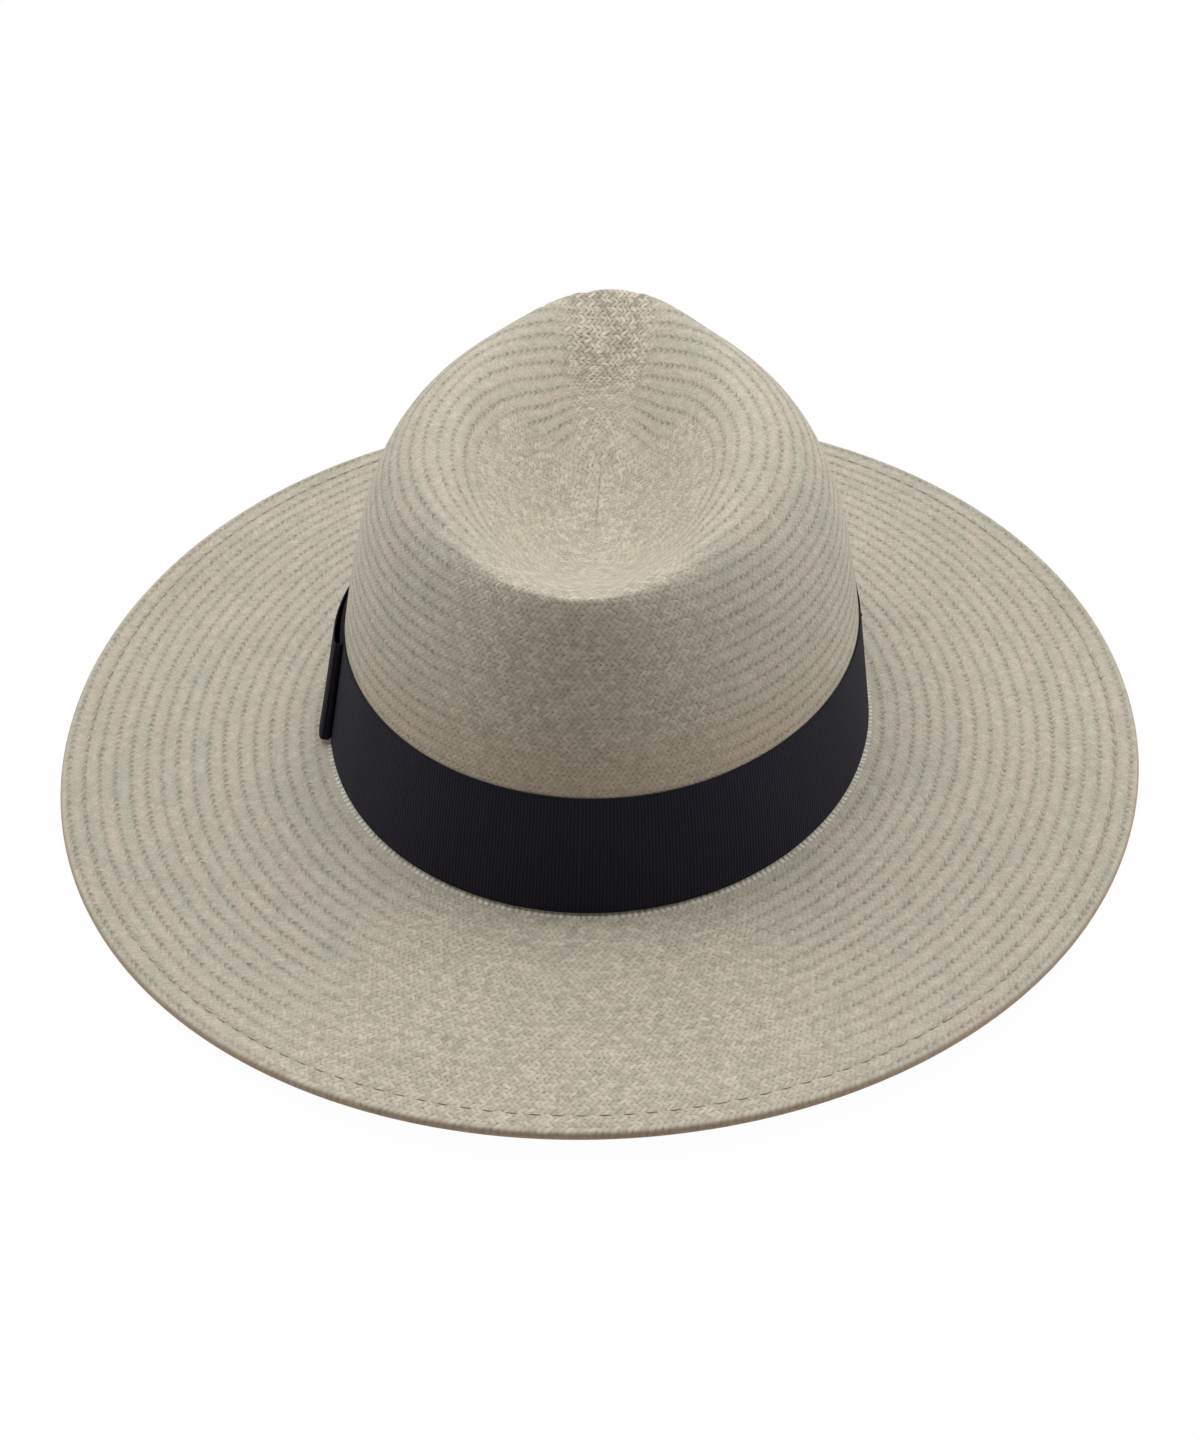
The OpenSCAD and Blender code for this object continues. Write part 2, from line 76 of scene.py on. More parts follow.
class Wire:
    """A value in a shader graph; arithmetic on it adds Math nodes."""

    def __init__(self, graph: "Graph", socket: bpy.types.NodeSocket) -> None:
        """Keeps the socket.

        Args:
            graph: The graph the socket belongs to.
            socket: The output socket that carries the value.
        """
        self.graph = graph
        self.socket = socket

    __add__, __radd__ = operator("ADD"), operator("ADD", swapped=True)
    __sub__, __rsub__ = operator("SUBTRACT"), operator("SUBTRACT", swapped=True)
    __mul__, __rmul__ = operator("MULTIPLY"), operator("MULTIPLY", swapped=True)
    __truediv__, __rtruediv__ = operator("DIVIDE"), operator("DIVIDE", swapped=True)
    __pow__, __rpow__ = operator("POWER"), operator("POWER", swapped=True)
    floor, fract, abs, sine = operator("FLOOR"), operator("FRACT"), operator("ABSOLUTE"), operator("SINE")
    at_least = operator("MAXIMUM")

    def off_middle(self) -> "Wire":
        """Distance from the middle of the whole step that the value is in, 1 at the step's ends."""
        return (self.fract() * 2.0 - 1.0).abs()

    def side(self, width: float) -> "Wire":
        """The value's sign, from -1 to 1, which turns smoothly within a width of zero."""
        return self.ramp(-width, width) * 2.0 - 1.0

    def ramp(self, low: float, high: float) -> "Wire":
        """A smooth step.

        Args:
            low: The value at which the step is 0.
            high: The value at which the step is 1.

        Returns:
            The step, from 0 to 1.
        """
        node = self.graph.node(
            "ShaderNodeMapRange",
            {"interpolation_type": "SMOOTHSTEP"},
            {"Value": self, "From Min": low, "From Max": high, "To Min": 0.0, "To Max": 1.0},
        )
        return Wire(self.graph, node.outputs["Result"])


Number = Union[Wire, float]


class Graph:
    """The node tree of one material, or of the world."""

    def __init__(self, owner: Union[bpy.types.Material, bpy.types.World]) -> None:
        """Starts an empty tree.

        Args:
            owner: The new material or world.
        """
        self.owner = owner
        owner.use_nodes = True
        self.tree = owner.node_tree
        self.tree.nodes.clear()

    def node(self, kind: str, settings: dict, inputs: dict) -> bpy.types.Node:
        """Adds a node.

        Args:
            kind: The node's type.
            settings: Attributes to set on the node, before its sockets.
            inputs: Values or links, by the socket's name or number.

        Returns:
            The new node.
        """
        made = self.tree.nodes.new(kind)
        for key, value in settings.items():
            setattr(made, key, value)
        for key, value in inputs.items():
            if isinstance(value, Wire):
                value = value.socket
            if isinstance(value, bpy.types.NodeSocket):
                self.tree.links.new(value, made.inputs[key])
            else:
                made.inputs[key].default_value = value
        return made

    def point(self) -> bpy.types.NodeSocket:
        """The point on the object in metres, as a vector."""
        return self.node("ShaderNodeTexCoord", {}, {}).outputs["Object"]

    def place(self) -> tuple[Wire, Wire, Wire, bpy.types.NodeSocket]:
        """The point on the object in millimetres.

        Returns:
            Its x, y and z, and the point in metres as a vector socket.
        """
        point = self.point()
        axes = self.node("ShaderNodeSeparateXYZ", {}, {0: point})
        x, y, z = (Wire(self, axes.outputs[k]) / MM for k in range(3))
        return x, y, z, point

    def chart(self) -> tuple[Wire, Wire]:
        """The piece's own surface chart.

        Returns:
            The two coordinates of its UV map.
        """
        uv = self.node("ShaderNodeUVMap", {"uv_map": CHART}, {}).outputs[0]
        axes = self.node("ShaderNodeSeparateXYZ", {}, {0: uv})
        return Wire(self, axes.outputs[0]), Wire(self, axes.outputs[1])

    def vector(self, x: Number, y: Number, z: Number) -> bpy.types.NodeSocket:
        """Three values as one vector."""
        return self.node("ShaderNodeCombineXYZ", {}, {0: x, 1: y, 2: z}).outputs[0]

    def noise(self, point: bpy.types.NodeSocket, scale: float, detail: float) -> Wire:
        """Soft noise.

        Args:
            point: Where it is read.
            scale: Features per unit.
            detail: How many finer layers it has.

        Returns:
            The noise, around 0.5.
        """
        made = self.node("ShaderNodeTexNoise", {}, {"Vector": point, "Scale": scale, "Detail": detail})
        return Wire(self, made.outputs[0])

    def chance(self, x: Number, y: Number, seed: float = 0.0) -> Wire:
        """A random value that is the same all over one cell.

        Args:
            x: The cell's first number.
            y: The cell's second number.
            seed: A different value for each use.

        Returns:
            A value from 0 to 1.
        """
        made = self.node(
            "ShaderNodeTexWhiteNoise", {"noise_dimensions": "3D"}, {"Vector": self.vector(x, y, seed)}
        )
        return Wire(self, made.outputs["Value"])

    def blend(self, share: Number, first: "Paint", second: "Paint") -> bpy.types.NodeSocket:
        """Mixes two colours.

        Args:
            share: How much of the second there is.
            first: One colour.
            second: The other colour.

        Returns:
            The mixed colour.
        """
        ends = {0: share, 6: paint(first), 7: paint(second)}
        made = self.node("ShaderNodeMix", {"data_type": "RGBA"}, ends)
        return made.outputs[2]

    def shade(self, colour: "Paint", strength: Number) -> bpy.types.NodeSocket:
        """A colour made lighter or darker by a value."""
        made = self.node("ShaderNodeVectorMath", {"operation": "SCALE"}, {0: colour, "Scale": strength})
        return made.outputs[0]

    def surface(
        self,
        colour: "Paint",
        roughness: Number,
        height: Optional[Wire] = None,
        relief: float = 0.1,
        constants: Optional[dict] = None,
    ) -> bpy.types.Material:
        """Closes the graph with a surface.

        Args:
            colour: The base colour.
            roughness: The roughness.
            height: The relief's height, from 0 to 1.
            relief: The relief's full height in millimetres.
            constants: Values of other sockets that are the same all over.

        Returns:
            The finished material.
        """
        inputs = {"Base Color": paint(colour), "Roughness": roughness, **(constants or {})}
        if height is not None:
            bumps = {"Height": height, "Distance": relief * MM, "Strength": 1.0}
            bump = self.node("ShaderNodeBump", {}, bumps)
            inputs["Normal"] = bump.outputs[0]
        shader = self.node("ShaderNodeBsdfPrincipled", {}, inputs)
        self.node("ShaderNodeOutputMaterial", {}, {"Surface": shader.outputs[0]})
        return self.owner


Paint = Union[bpy.types.NodeSocket, Colour]
CHART = "weave"
WHITE = (1.0, 1.0, 1.0, 1.0)
CROWN_RINGS = 39.0
BRIM_RINGS = 17.5


def paint(value: Paint) -> Union[bpy.types.NodeSocket, tuple[float, float, float, float]]:
    """A colour in the form that a colour socket takes.

    Args:
        value: A link, or red, green and blue.

    Returns:
        The link as it was, or four numbers.
    """
    return (*value, 1.0) if isinstance(value, tuple) else value


# ---------------------------------------------------------------- finishes


@dataclass(frozen=True)
class Finish:
    """What every finish has."""

    name: str
    slot: str

    def build(self) -> bpy.types.Material:
        """Makes the material; each finish has its own."""
        raise NotImplementedError

    def dress(self, piece: bpy.types.Object) -> None:
        """Gives a piece this finish.

        Args:
            piece: The piece to dress.
        """
        material = bpy.data.materials.get(self.name) or self.build()
        piece.data.materials.clear()
        piece.data.materials.append(material)


@dataclass(frozen=True)
class StrawFinish(Finish):
    """Split straw woven in rings of fine herringbone; the chart counts strands and rings."""

    pale: Colour = (0.600, 0.548, 0.432)
    green: Colour = (0.520, 0.520, 0.425)
    pink: Colour = (0.600, 0.520, 0.425)
    # gap is painted shade: the dark in the gaps between strands, in the ring grooves and in the dent's crease
    gap: Colour = (0.150, 0.120, 0.085)
    glint: Colour = (0.86, 0.84, 0.76)
    edge: Colour = (0.40, 0.27, 0.17)
    # warm is the colour of the painted shade on the back wall
    warm: Colour = (0.560, 0.430, 0.285)
    rows_per_ring: float = 3.0
    slant: float = 0.80
    dashes_per_strand: float = 0.68
    ticks_per_strand: float = 0.85
    first_brim_ring: float = CROWN_RINGS
    last_ring: float = CROWN_RINGS + BRIM_RINGS

    @staticmethod
    def ring_shade_shown(x: Wire, y: Wire, ring: Wire) -> Wire:
        """How strongly the painted shade in the grooves between the rings shows, strong at the sides and
        faint at both ends.

        Args:
            x: Distance to the side in millimetres.
            y: Distance to the back in millimetres.
            ring: The ring coordinate.

        Returns:
            The share, from 0 to 1.
        """
        sideways = x.abs() / (x * x + y * y * 0.67 + 1.0) ** 0.5
        back, front = sideways.ramp(0.40, 0.66), sideways.ramp(0.18, 0.36)
        ahead = 0.0 - y
        ring_shade_share = back + (front - back) * ahead.ramp(-10.0, 10.0)
        far = ahead.ramp(18.0, 30.0) * x.abs().ramp(7.0, 13.0) * 1.25
        return far + (ring_shade_share - far) * ring.ramp(9.0, 11.0)

    @staticmethod
    def valley_pull(x: Wire, y: Wire, ring: Wire) -> Wire:
        """How far the rings are drawn towards the front along the dent's valley.

        Args:
            x: Distance to the side in millimetres.
            y: Distance to the back in millimetres.
            ring: The ring coordinate.

        Returns:
            The pull in rings.
        """
        beside = 1.0 - x.abs().ramp(0.0, 21.0)
        return beside * (0.0 - y).ramp(6.0, 34.0) * (1.0 - ring.ramp(9.0, 14.0)) * 1.9

    def build(self) -> bpy.types.Material:
        """Makes the material.

        Returns:
            The material.
        """
        g = Graph(bpy.data.materials.new(self.name))
        x, y, z, point = g.place()
        across, ring = g.chart()
        ahead, from_foot = 0.0 - y, ring - self.first_brim_ring
        scales = (240.0, 70.0, 430.0, 330.0)
        wander, drift, jitter, blotch = (g.noise(point, scale, 1.0) - 0.5 for scale in scales)
        patches = g.noise(point, 30.0, 2.0)
        # share of the painted shade in the ring grooves, by place round the hat
        ring_shade_share = self.ring_shade_shown(x, y, ring)
        top_check = ahead.ramp(46.0, 55.0) * (1.0 - x.abs().ramp(9.0, 16.0)) * (z - 88.0).ramp(0.0, 4.0)
        contrast = 1.35 - ring_shade_share * 0.75 + top_check * 1.1

        # the herringbone: cells between strands and rows, with painted shade at the strands' edges and
        # corners and darker blotches
        ring_here = ring + wander * 0.12 - self.valley_pull(x, y, ring)
        row = (ring_here + jitter * 0.24) * self.rows_per_ring
        stray = drift * 1.2 + wander * 0.7
        strand = across + (row * 0.5).off_middle() * self.slant + stray + jitter * 0.80
        chance = g.chance(strand.floor(), row.floor())
        speckle = g.chance(strand.floor(), row.floor(), 9.4)
        from_strand, from_row = strand.off_middle(), row.off_middle()
        strand_edge, row_edge = from_strand.ramp(0.35, 1.0), from_row.ramp(0.60, 1.0)
        corner = (from_strand * from_row).ramp(0.45, 0.95)
        weave = strand_edge * 0.13 + row_edge * 0.04 + corner * (0.03 + chance * chance * 0.60)
        weave = (weave + blotch.ramp(0.06, 0.24) * 0.09) * contrast

        # painted shade: dark dashes in the grooves between the rings
        past_line = (ring_here + 0.5).fract() - 0.5
        bent = past_line.abs() * 2.2 + past_line * x.side(20.0) * y.side(30.0) * 1.2
        dash_at = across * self.dashes_per_strand + (stray + jitter) * 0.7 + bent
        dash = 1.0 - dash_at.off_middle().ramp(0.20, 0.80)
        dash_chance = g.chance(dash_at.floor(), (ring_here + 0.5).floor(), 5.1)
        line = (1.0 - past_line.abs().ramp(0.06, 0.30)) * (0.24 + dash * (0.26 + dash_chance * 0.60))
        line = line * (0.14 + ring_shade_share * 0.86)

        # the straw's own colours, then painted shade: darker towards the front of the brim, warm on the back
        # wall, and in the gaps between strands and rings
        band = g.noise(g.vector(across * 0.08, (ring_here * 2.0).floor() * 1.7, 0.0), 1.0, 1.0)
        fibre = g.noise(g.vector(strand * 3.2, row, chance * 7.0), 1.0, 1.0)
        straw = g.blend((band + (chance - 0.5) * 0.10).ramp(0.36, 0.64), self.green, self.pink)
        straw = g.blend(0.26 + patches * 0.6 + (1.0 - ring_shade_share) * 0.42, straw, self.pale)
        tone = 0.97 + (speckle - 0.5) * 0.20 * contrast + (fibre - 0.5) * 0.18 + (patches - 0.5) * 0.10
        tone = tone + (jitter * 2.0 + blotch) * 0.20 * (contrast * 0.6 + 0.4)
        # painted shade: the brim darker towards the front
        tone = tone - ahead.ramp(10.0, 100.0) * from_foot.ramp(0.0, 3.0) * 0.10
        straw = g.shade(straw, tone + (band - 0.5) * ring_shade_share * 0.12)
        # painted shade on the back wall, warm like light bounced off the brim
        back_wall_shade = y.ramp(20.0, 75.0) * ring.ramp(24.0, 30.0) * (1.0 - from_foot.ramp(-1.0, 0.0))
        straw = g.blend(back_wall_shade * 0.40, straw, self.warm)
        # painted shade in the gaps between the strands and in the grooves between the rings
        straw = g.blend(weave + line * 0.50, straw, self.gap)

        # painted highlights on the strand turns at the ribbon's foot, the brown edge, and painted shade in
        # the crease in the dent
        foot = (1.0 - (from_foot - 0.20).abs() * 4.5).ramp(0.0, 0.6)
        tick = foot * (1.0 - (across * self.ticks_per_strand + wander * 0.6).off_middle().ramp(0.30, 0.75))
        straw = g.blend(tick * (0.42 + speckle * 0.6), straw, self.glint)
        straw = g.blend((ring - self.last_ring).ramp(-0.25, -0.17) * 0.72, straw, self.edge)
        # painted shade in the dent's crease, as well as its dip in the relief
        crease = (1.0 - x.abs() * 1.8).ramp(0.0, 1.0) * (8.0 - y).ramp(0.0, 3.0)
        crease = crease * (y + 32.0).ramp(0.0, 14.0) * (z - 70.0).ramp(0.0, 2.0)
        straw = g.blend(crease * 0.34, straw, self.gap)

        height = (1.0 - strand_edge * 0.55) * (1.0 - row_edge * 0.35) * (0.82 + chance * 0.18)
        height = height + fibre * 0.12 - crease * 0.5 - line * 0.35
        roughness = 0.56 + chance * 0.14 + weave * 0.2
        return g.surface(straw, roughness, height, 0.17, {"Specular IOR Level": 0.34})


@dataclass(frozen=True)
class GrosgrainFinish(Finish):
    """Black ribbed ribbon; the chart is in millimetres along and across it."""

    black: Colour = (0.0290, 0.0275, 0.0400)
    # groove is painted shade between the ribs; the selvedge is darkened with it too
    groove: Colour = (0.0165, 0.0156, 0.0225)
    rib: float = 1.05
    width: float = 38.0

    def build(self) -> bpy.types.Material:
        """Makes the material.

        Returns:
            The material.
        """
        g = Graph(bpy.data.materials.new(self.name))
        point = g.point()
        along, across = g.chart()
        wander = g.noise(point, 180.0, 1.0) - 0.5
        rib = ((along / self.rib + wander * 0.25) * 2.0 * pi).sine() * 0.5 + 0.5
        thread = (across * (2.0 * pi / 0.42)).sine() * 0.5 + 0.5
        selvedge = ((across - self.width / 2).abs() - self.width / 2).ramp(-1.1, -0.7)
        dust = g.noise(point, 420.0, 3.0)
        shade = 0.86 + dust * 0.28 + thread * 0.08
        # painted shade in the grooves between the ribs
        colour = g.shade(g.blend(rib.ramp(0.05, 0.75), self.groove, self.black), shade)
        colour = g.blend(selvedge * 0.5, colour, self.groove)
        height = rib * (1.0 - selvedge * 0.8) + thread * 0.18
        return g.surface(
            colour,
            0.60 + dust * 0.16,
            height,
            0.16,
            {"Specular IOR Level": 0.05, "Sheen Weight": 0.02, "Sheen Roughness": 0.5},
        )


@dataclass(frozen=True)
class LeatherFinish(Finish):
    """Smooth sweatband leather with fine grain; the chart is in millimetres."""

    tan: Colour = (0.560, 0.435, 0.300)
    worn: Colour = (0.420, 0.305, 0.195)
    height_mm: float = 34.0

    def build(self) -> bpy.types.Material:
        """Makes the material.

        Returns:
            The material.
        """
        g = Graph(bpy.data.materials.new(self.name))
        point = g.point()
        _, across = g.chart()
        cells = {"Vector": point, "Scale": 950.0}
        grain = g.node("ShaderNodeTexVoronoi", {"feature": "DISTANCE_TO_EDGE"}, cells)
        pebble = Wire(g, grain.outputs[0]).ramp(0.0, 0.16)
        cloud = g.noise(point, 45.0, 3.0)
        pores = g.noise(point, 2400.0, 1.0)
        edge = (across / self.height_mm * 2.0 - 1.0).abs().ramp(0.86, 1.0)
        crease = (1.0 - ((across - (self.height_mm - 3.0)).abs() * 2.2)).ramp(0.0, 1.0)
        colour = g.blend(cloud.ramp(0.35, 0.75), self.tan, (0.600, 0.480, 0.345))
        colour = g.blend(edge * 0.45 + crease * 0.35, colour, self.worn)
        colour = g.shade(colour, 0.90 + pebble * 0.10 + (pores - 0.5) * 0.06)
        height = pebble * 0.5 + pores * 0.15 - crease * 0.8
        return g.surface(colour, 0.42 + cloud * 0.18, height, 0.10, {"Specular IOR Level": 0.42})


@dataclass(frozen=True)
class TapeFinish(Finish):
    """Plain woven cotton tape; the chart is in millimetres."""

    warm: Colour = (0.44, 0.36, 0.26)
    dark: Colour = (0.25, 0.19, 0.13)
    pitch: float = 0.55

    def build(self) -> bpy.types.Material:
        """Makes the material.

        Returns:
            The material.
        """
        g = Graph(bpy.data.materials.new(self.name))
        point = g.point()
        along, across = g.chart()
        over = (along * (pi / self.pitch)).sine() * (across * (pi / self.pitch)).sine()
        weave = over * 0.5 + 0.5
        fuzz = g.noise(point, 900.0, 2.0)
        colour = g.shade(g.blend(weave.ramp(0.1, 0.6), self.dark, self.warm), 0.86 + fuzz * 0.28)
        return g.surface(colour, 0.78 + fuzz * 0.1, weave + fuzz * 0.2, 0.12, {"Specular IOR Level": 0.2})


@dataclass(frozen=True)
class ThreadFinish(Finish):
    """Twisted thread or cord, with its turns slanting through the object."""

    colour: Colour = (0.60, 0.55, 0.44)
    shadow: Colour = (0.30, 0.26, 0.19)
    turns: float = 1.1

    def build(self) -> bpy.types.Material:
        """Makes the material.

        Returns:
            The material.
        """
        g = Graph(bpy.data.materials.new(self.name))
        x, y, z, point = g.place()
        twist = ((x + y * 0.83 + z * 1.31) * (2.0 * pi * self.turns)).sine() * 0.5 + 0.5
        fuzz = g.noise(point, 1500.0, 2.0)
        colour = g.shade(g.blend(twist.ramp(0.1, 0.7), self.shadow, self.colour), 0.85 + fuzz * 0.3)
        return g.surface(colour, 0.66 + fuzz * 0.14, twist, 0.07, {"Specular IOR Level": 0.25})


@dataclass(frozen=True)
class PlasticFinish(Finish):
    """Drawn plastic rod."""

    colour: Colour = (0.70, 0.70, 0.66)

    def build(self) -> bpy.types.Material:
        """Makes the material.

        Returns:
            The material.
        """
        g = Graph(bpy.data.materials.new(self.name))
        point = g.point()
        scuff = g.noise(point, 600.0, 3.0)
        colour = g.shade(self.colour, 0.93 + scuff * 0.12)
        return g.surface(colour, 0.38 + scuff * 0.2, scuff, 0.01, {"Specular IOR Level": 0.5})


STRAW = StrawFinish("woven straw", "straw")
GROSGRAIN = GrosgrainFinish("black grosgrain", "ribbon")
LEATHER = LeatherFinish("sweatband leather", "sweatband")
TAPE = TapeFinish("cotton tape", "tape")
HEM_THREAD = ThreadFinish("straw-coloured thread", "thread", (0.60, 0.54, 0.44), (0.50, 0.45, 0.37))
BLACK_THREAD = ThreadFinish("black thread", "dark_thread", (0.022, 0.021, 0.025), (0.007, 0.007, 0.009))
ROD = PlasticFinish("drawn rod", "reed")


# ---------------------------------------------------------------- the hat's form


def lerp(first: Array, second: Array, share: Array) -> Array:
    """The point between two values at a share of the way."""
    return first + (second - first) * share


def unit(vectors: Array) -> Array:
    """Vectors scaled to the length one."""
    return vectors / np.maximum(np.linalg.norm(vectors, axis=-1, keepdims=True), 1e-9)


def runs(points: Array) -> Array:
    """Distances down each column of points from its first row."""
    steps = np.linalg.norm(np.diff(points, axis=0), axis=-1)
    return np.concatenate([np.zeros((1, steps.shape[1])), np.cumsum(steps, axis=0)])


def resample(points: Array, at: Array) -> Array:
    """Points at given distances down the columns of a surface that closes on itself.

    Args:
        points: Rows and columns of points.
        at: The distances, for each new row and column.

    Returns:
        The new rows of points.
    """
    run, made = runs(points), np.empty((*at.shape, 3))
    for column in range(at.shape[1]):
        for axis in range(3):
            made[:, column, axis] = np.interp(at[:, column], run[:, column], points[:, column, axis])
    made[:, -1] = made[:, 0]
    return made


def cubic(a: Array, b: Array, c: Array, d: Array, t: Array) -> Array:
    """A cubic curve through a and d with the handles b and c."""
    return (1 - t) ** 3 * a + 3 * t * (1 - t) ** 2 * b + 3 * t * t * (1 - t) * c + t**3 * d


@dataclass(frozen=True)
class HatForm:
    """The hat's surfaces, with the same sizes in millimetres as the part's source."""

    foot_half_width: float = 85.7
    foot_half_length: float = 104.6
    foot_z: float = 11.0
    foot_bend_r: float = 1.0
    straw_t: float = 1.0
    side_lean: float = 0.137
    end_lean: float = 0.15
    crown_skew: float = 0.04
    rim_half_width: float = 46.5
    rim_back_y: float = 80.0
    rim_front_y: float = 84.0
    rim_taper: float = 0.13
    rim_hollow: float = 0.05
    rim_back_z: float = 108.0
    rim_side_z: float = 116.5
    rim_front_z: float = 118.0
    wall_straight: float = 0.54
    shoulders: tuple[float, float, float] = (0.94, 0.2, 0.2)
    dent_floor_z: float = 85.0
    dent_centre_y: float = 8.0
    dent_lip: tuple[float, float, float] = (0.3, 0.2, 0.2)
    dent_floor_flat: tuple[float, float, float] = (0.5, 0.6, 0.35)
    valley_depth: float = 5.0
    valley_half_width: float = 15.0
    valley_run: float = 60.0
    pinch_depth: float = 8.0
    pinch_angle: float = 33.0
    pinch_spread: float = 15.0
    pinch_from: float = 0.35
    brim_side_w: float = 86.8
    brim_end_w: float = 92.6
    wave_one: float = 1.9
    wave_two: float = 0.8
    wave_three: float = 0.4
    skew_one: float = 0.8
    skew_two: float = 0.6
    brim_sag: float = 0.35
    hem_w: float = 9.0
    hem_channel_r: float = 0.5
    hem_gap: float = 0.2
    seam_inset: float = 7.6

    @property
    def edge_r(self) -> float:
        """Outer radius of the fold at the brim's edge."""
        return self.straw_t + self.hem_channel_r

    @property
    def wall_foot_z(self) -> float:
        """Height of the wall's foot."""
        return self.foot_z + self.foot_bend_r

    @staticmethod
    def by_turn(values: Sequence[float], turn: Array) -> Array:
        """A value that is side, back and front by turns.

        Args:
            values: The values at the side, the back and the front.
            turn: Angles round the hat, 0 at the back.

        Returns:
            The value at each angle.
        """
        side, back, front = values
        return lerp(side, np.where(np.cos(turn) > 0, back, front), np.cos(turn) ** 2)

    def foot(self, turn: Array) -> Array:
        """The crown's foot on the floor, at each angle."""
        return np.stack(
            [self.foot_half_width * np.sin(turn), self.foot_half_length * np.cos(turn), 0 * turn], -1
        )

    def outward(self, turn: Array) -> Array:
        """The direction away from the crown along the floor, at each angle."""
        return unit(
            np.stack(
                [np.sin(turn) / self.foot_half_width, np.cos(turn) / self.foot_half_length, 0 * turn], -1
            )
        )

    def rim(self, turn: Array) -> Array:
        """The crown's rim crest, at each angle."""
        hollow = 1 - self.rim_hollow * (np.sin(turn) * np.cos(turn)) ** 2
        mean = (self.rim_back_z + self.rim_front_z) / 4 + self.rim_side_z / 2
        tilt = (self.rim_back_z - self.rim_front_z) / 2
        double = (self.rim_back_z + self.rim_front_z) / 4 - self.rim_side_z / 2
        middle = (self.rim_back_y - self.rim_front_y) / 2
        reach = (self.rim_back_y + self.rim_front_y) / 2
        return np.stack(
            [
                self.rim_half_width * np.sin(turn) * (1 + self.rim_taper * np.cos(turn)) * hollow,
                middle + reach * np.cos(turn),
                mean + tilt * np.cos(turn) + double * np.cos(2 * turn),
            ],
            -1,
        )

    def wall(self, turn: Array, share: Array) -> Array:
        """The wall from its foot to the rim crest.

        Args:
            turn: Angles round the hat.
            share: How far up, from 0 to 1.

        Returns:
            The points.
        """
        t = np.asarray(share)[..., None]
        start = self.foot(turn) + np.array([0, 0, self.wall_foot_z])
        crest = self.rim(turn)
        rise = (self.wall_straight * (crest[..., 2] - self.wall_foot_z))[..., None]
        sideways = -self.side_lean * np.sin(turn) - self.crown_skew
        lean = np.stack([sideways, -self.end_lean * np.cos(turn), 1 + 0 * turn], -1)
        straight = start + rise * lean
        broad = self.by_turn(self.shoulders, turn)[..., None]
        shoulder = lerp(crest, straight, broad)
        shoulder[..., 2] = crest[..., 2]
        off = (np.abs(np.degrees(turn) % 360 - 180) - self.pinch_angle) / self.pinch_spread
        s = np.clip((t - self.pinch_from) / (1 - self.pinch_from), 0, 1) ** 0.8
        press = self.pinch_depth * np.exp(-off * off)[..., None] * (4 * s * (1 - s)) ** 1.5
        return cubic(start, straight, shoulder, crest, t) - press * self.outward(turn)

    def dent(self, turn: Array, reach: Array) -> Array:
        """The dent from the middle of the weave to the rim crest.

        Args:
            turn: Angles round the hat.
            reach: How far out, from 0 to 1.

        Returns:
            The points.
        """
        r = np.asarray(reach)[..., None]
        crest = self.rim(turn)
        centre = np.broadcast_to(np.array([0, self.dent_centre_y, self.dent_floor_z]), crest.shape)
        lip = lerp(crest, centre, self.by_turn(self.dent_lip, turn)[..., None])
        lip[..., 2] = crest[..., 2]
        floor = lerp(centre, crest, self.by_turn(self.dent_floor_flat, turn)[..., None])
        floor[..., 2] = self.dent_floor_z
        point = cubic(crest, lip, floor, centre, 1 - r)
        run = np.clip((self.dent_centre_y - point[..., 1]) / self.valley_run, 0, 1)
        across = np.exp(-((point[..., 0] / self.valley_half_width) ** 2))
        deep = self.valley_depth * across * run * np.sin(pi * np.clip(1 - r[..., 0], 0, 1) ** 0.8)
        point[..., 2] -= deep
        return point

    def edge_z(self, turn: Array) -> Array:
        """Height of the brim's upper side at its edge."""

        def wave(u: Array) -> Array:
            """The wave of the edge."""
            even = self.wave_one * np.cos(u) + self.wave_two * np.cos(2 * u) + self.wave_three * np.cos(3 * u)
            return even - self.skew_one * np.sin(u) - self.skew_two * np.sin(2 * u)

        return 2 * self.edge_r + wave(turn) - wave(np.radians(np.arange(360))).min()

    def brim_w(self, turn: Array) -> Array:
        """Width of the brim, at each angle."""
        return self.by_turn((self.brim_side_w, self.brim_end_w, self.brim_end_w), turn)

    def brim_top(self, turn: Array, distance: Array) -> Array:
        """The brim's upper side.

        Args:
            turn: Angles round the hat.
            distance: How far outside the crown's foot.

        Returns:
            The points.
        """
        s = (distance - self.foot_bend_r) / (self.brim_w(turn) - self.foot_bend_r)
        height = lerp(self.foot_z, self.edge_z(turn), s * (1 + self.brim_sag * (1 - s)))
        point = self.foot(turn) + np.asarray(distance)[..., None] * self.outward(turn)
        point[..., 2] = height
        return point

    def edge_point(self, turn: Array, inset: Array, drop: float) -> Array:
        """A point of the brim's section, so far in from its edge and so far below its upper side."""
        point = self.brim_top(turn, self.brim_w(turn) - inset)
        point[..., 2] -= drop
        return point

    def wall_share(self, turn: Array, height: Array) -> Array:
        """The share of the wall at which it reaches a height, found by halving."""
        turn, height = np.broadcast_arrays(turn, height)
        low, high = np.zeros(turn.shape), np.full(turn.shape, 0.8)
        for _ in range(18):
            middle = (low + high) / 2
            below = self.wall(turn, middle)[..., 2] < height
            low, high = np.where(below, middle, low), np.where(below, high, middle)
        return (low + high) / 2

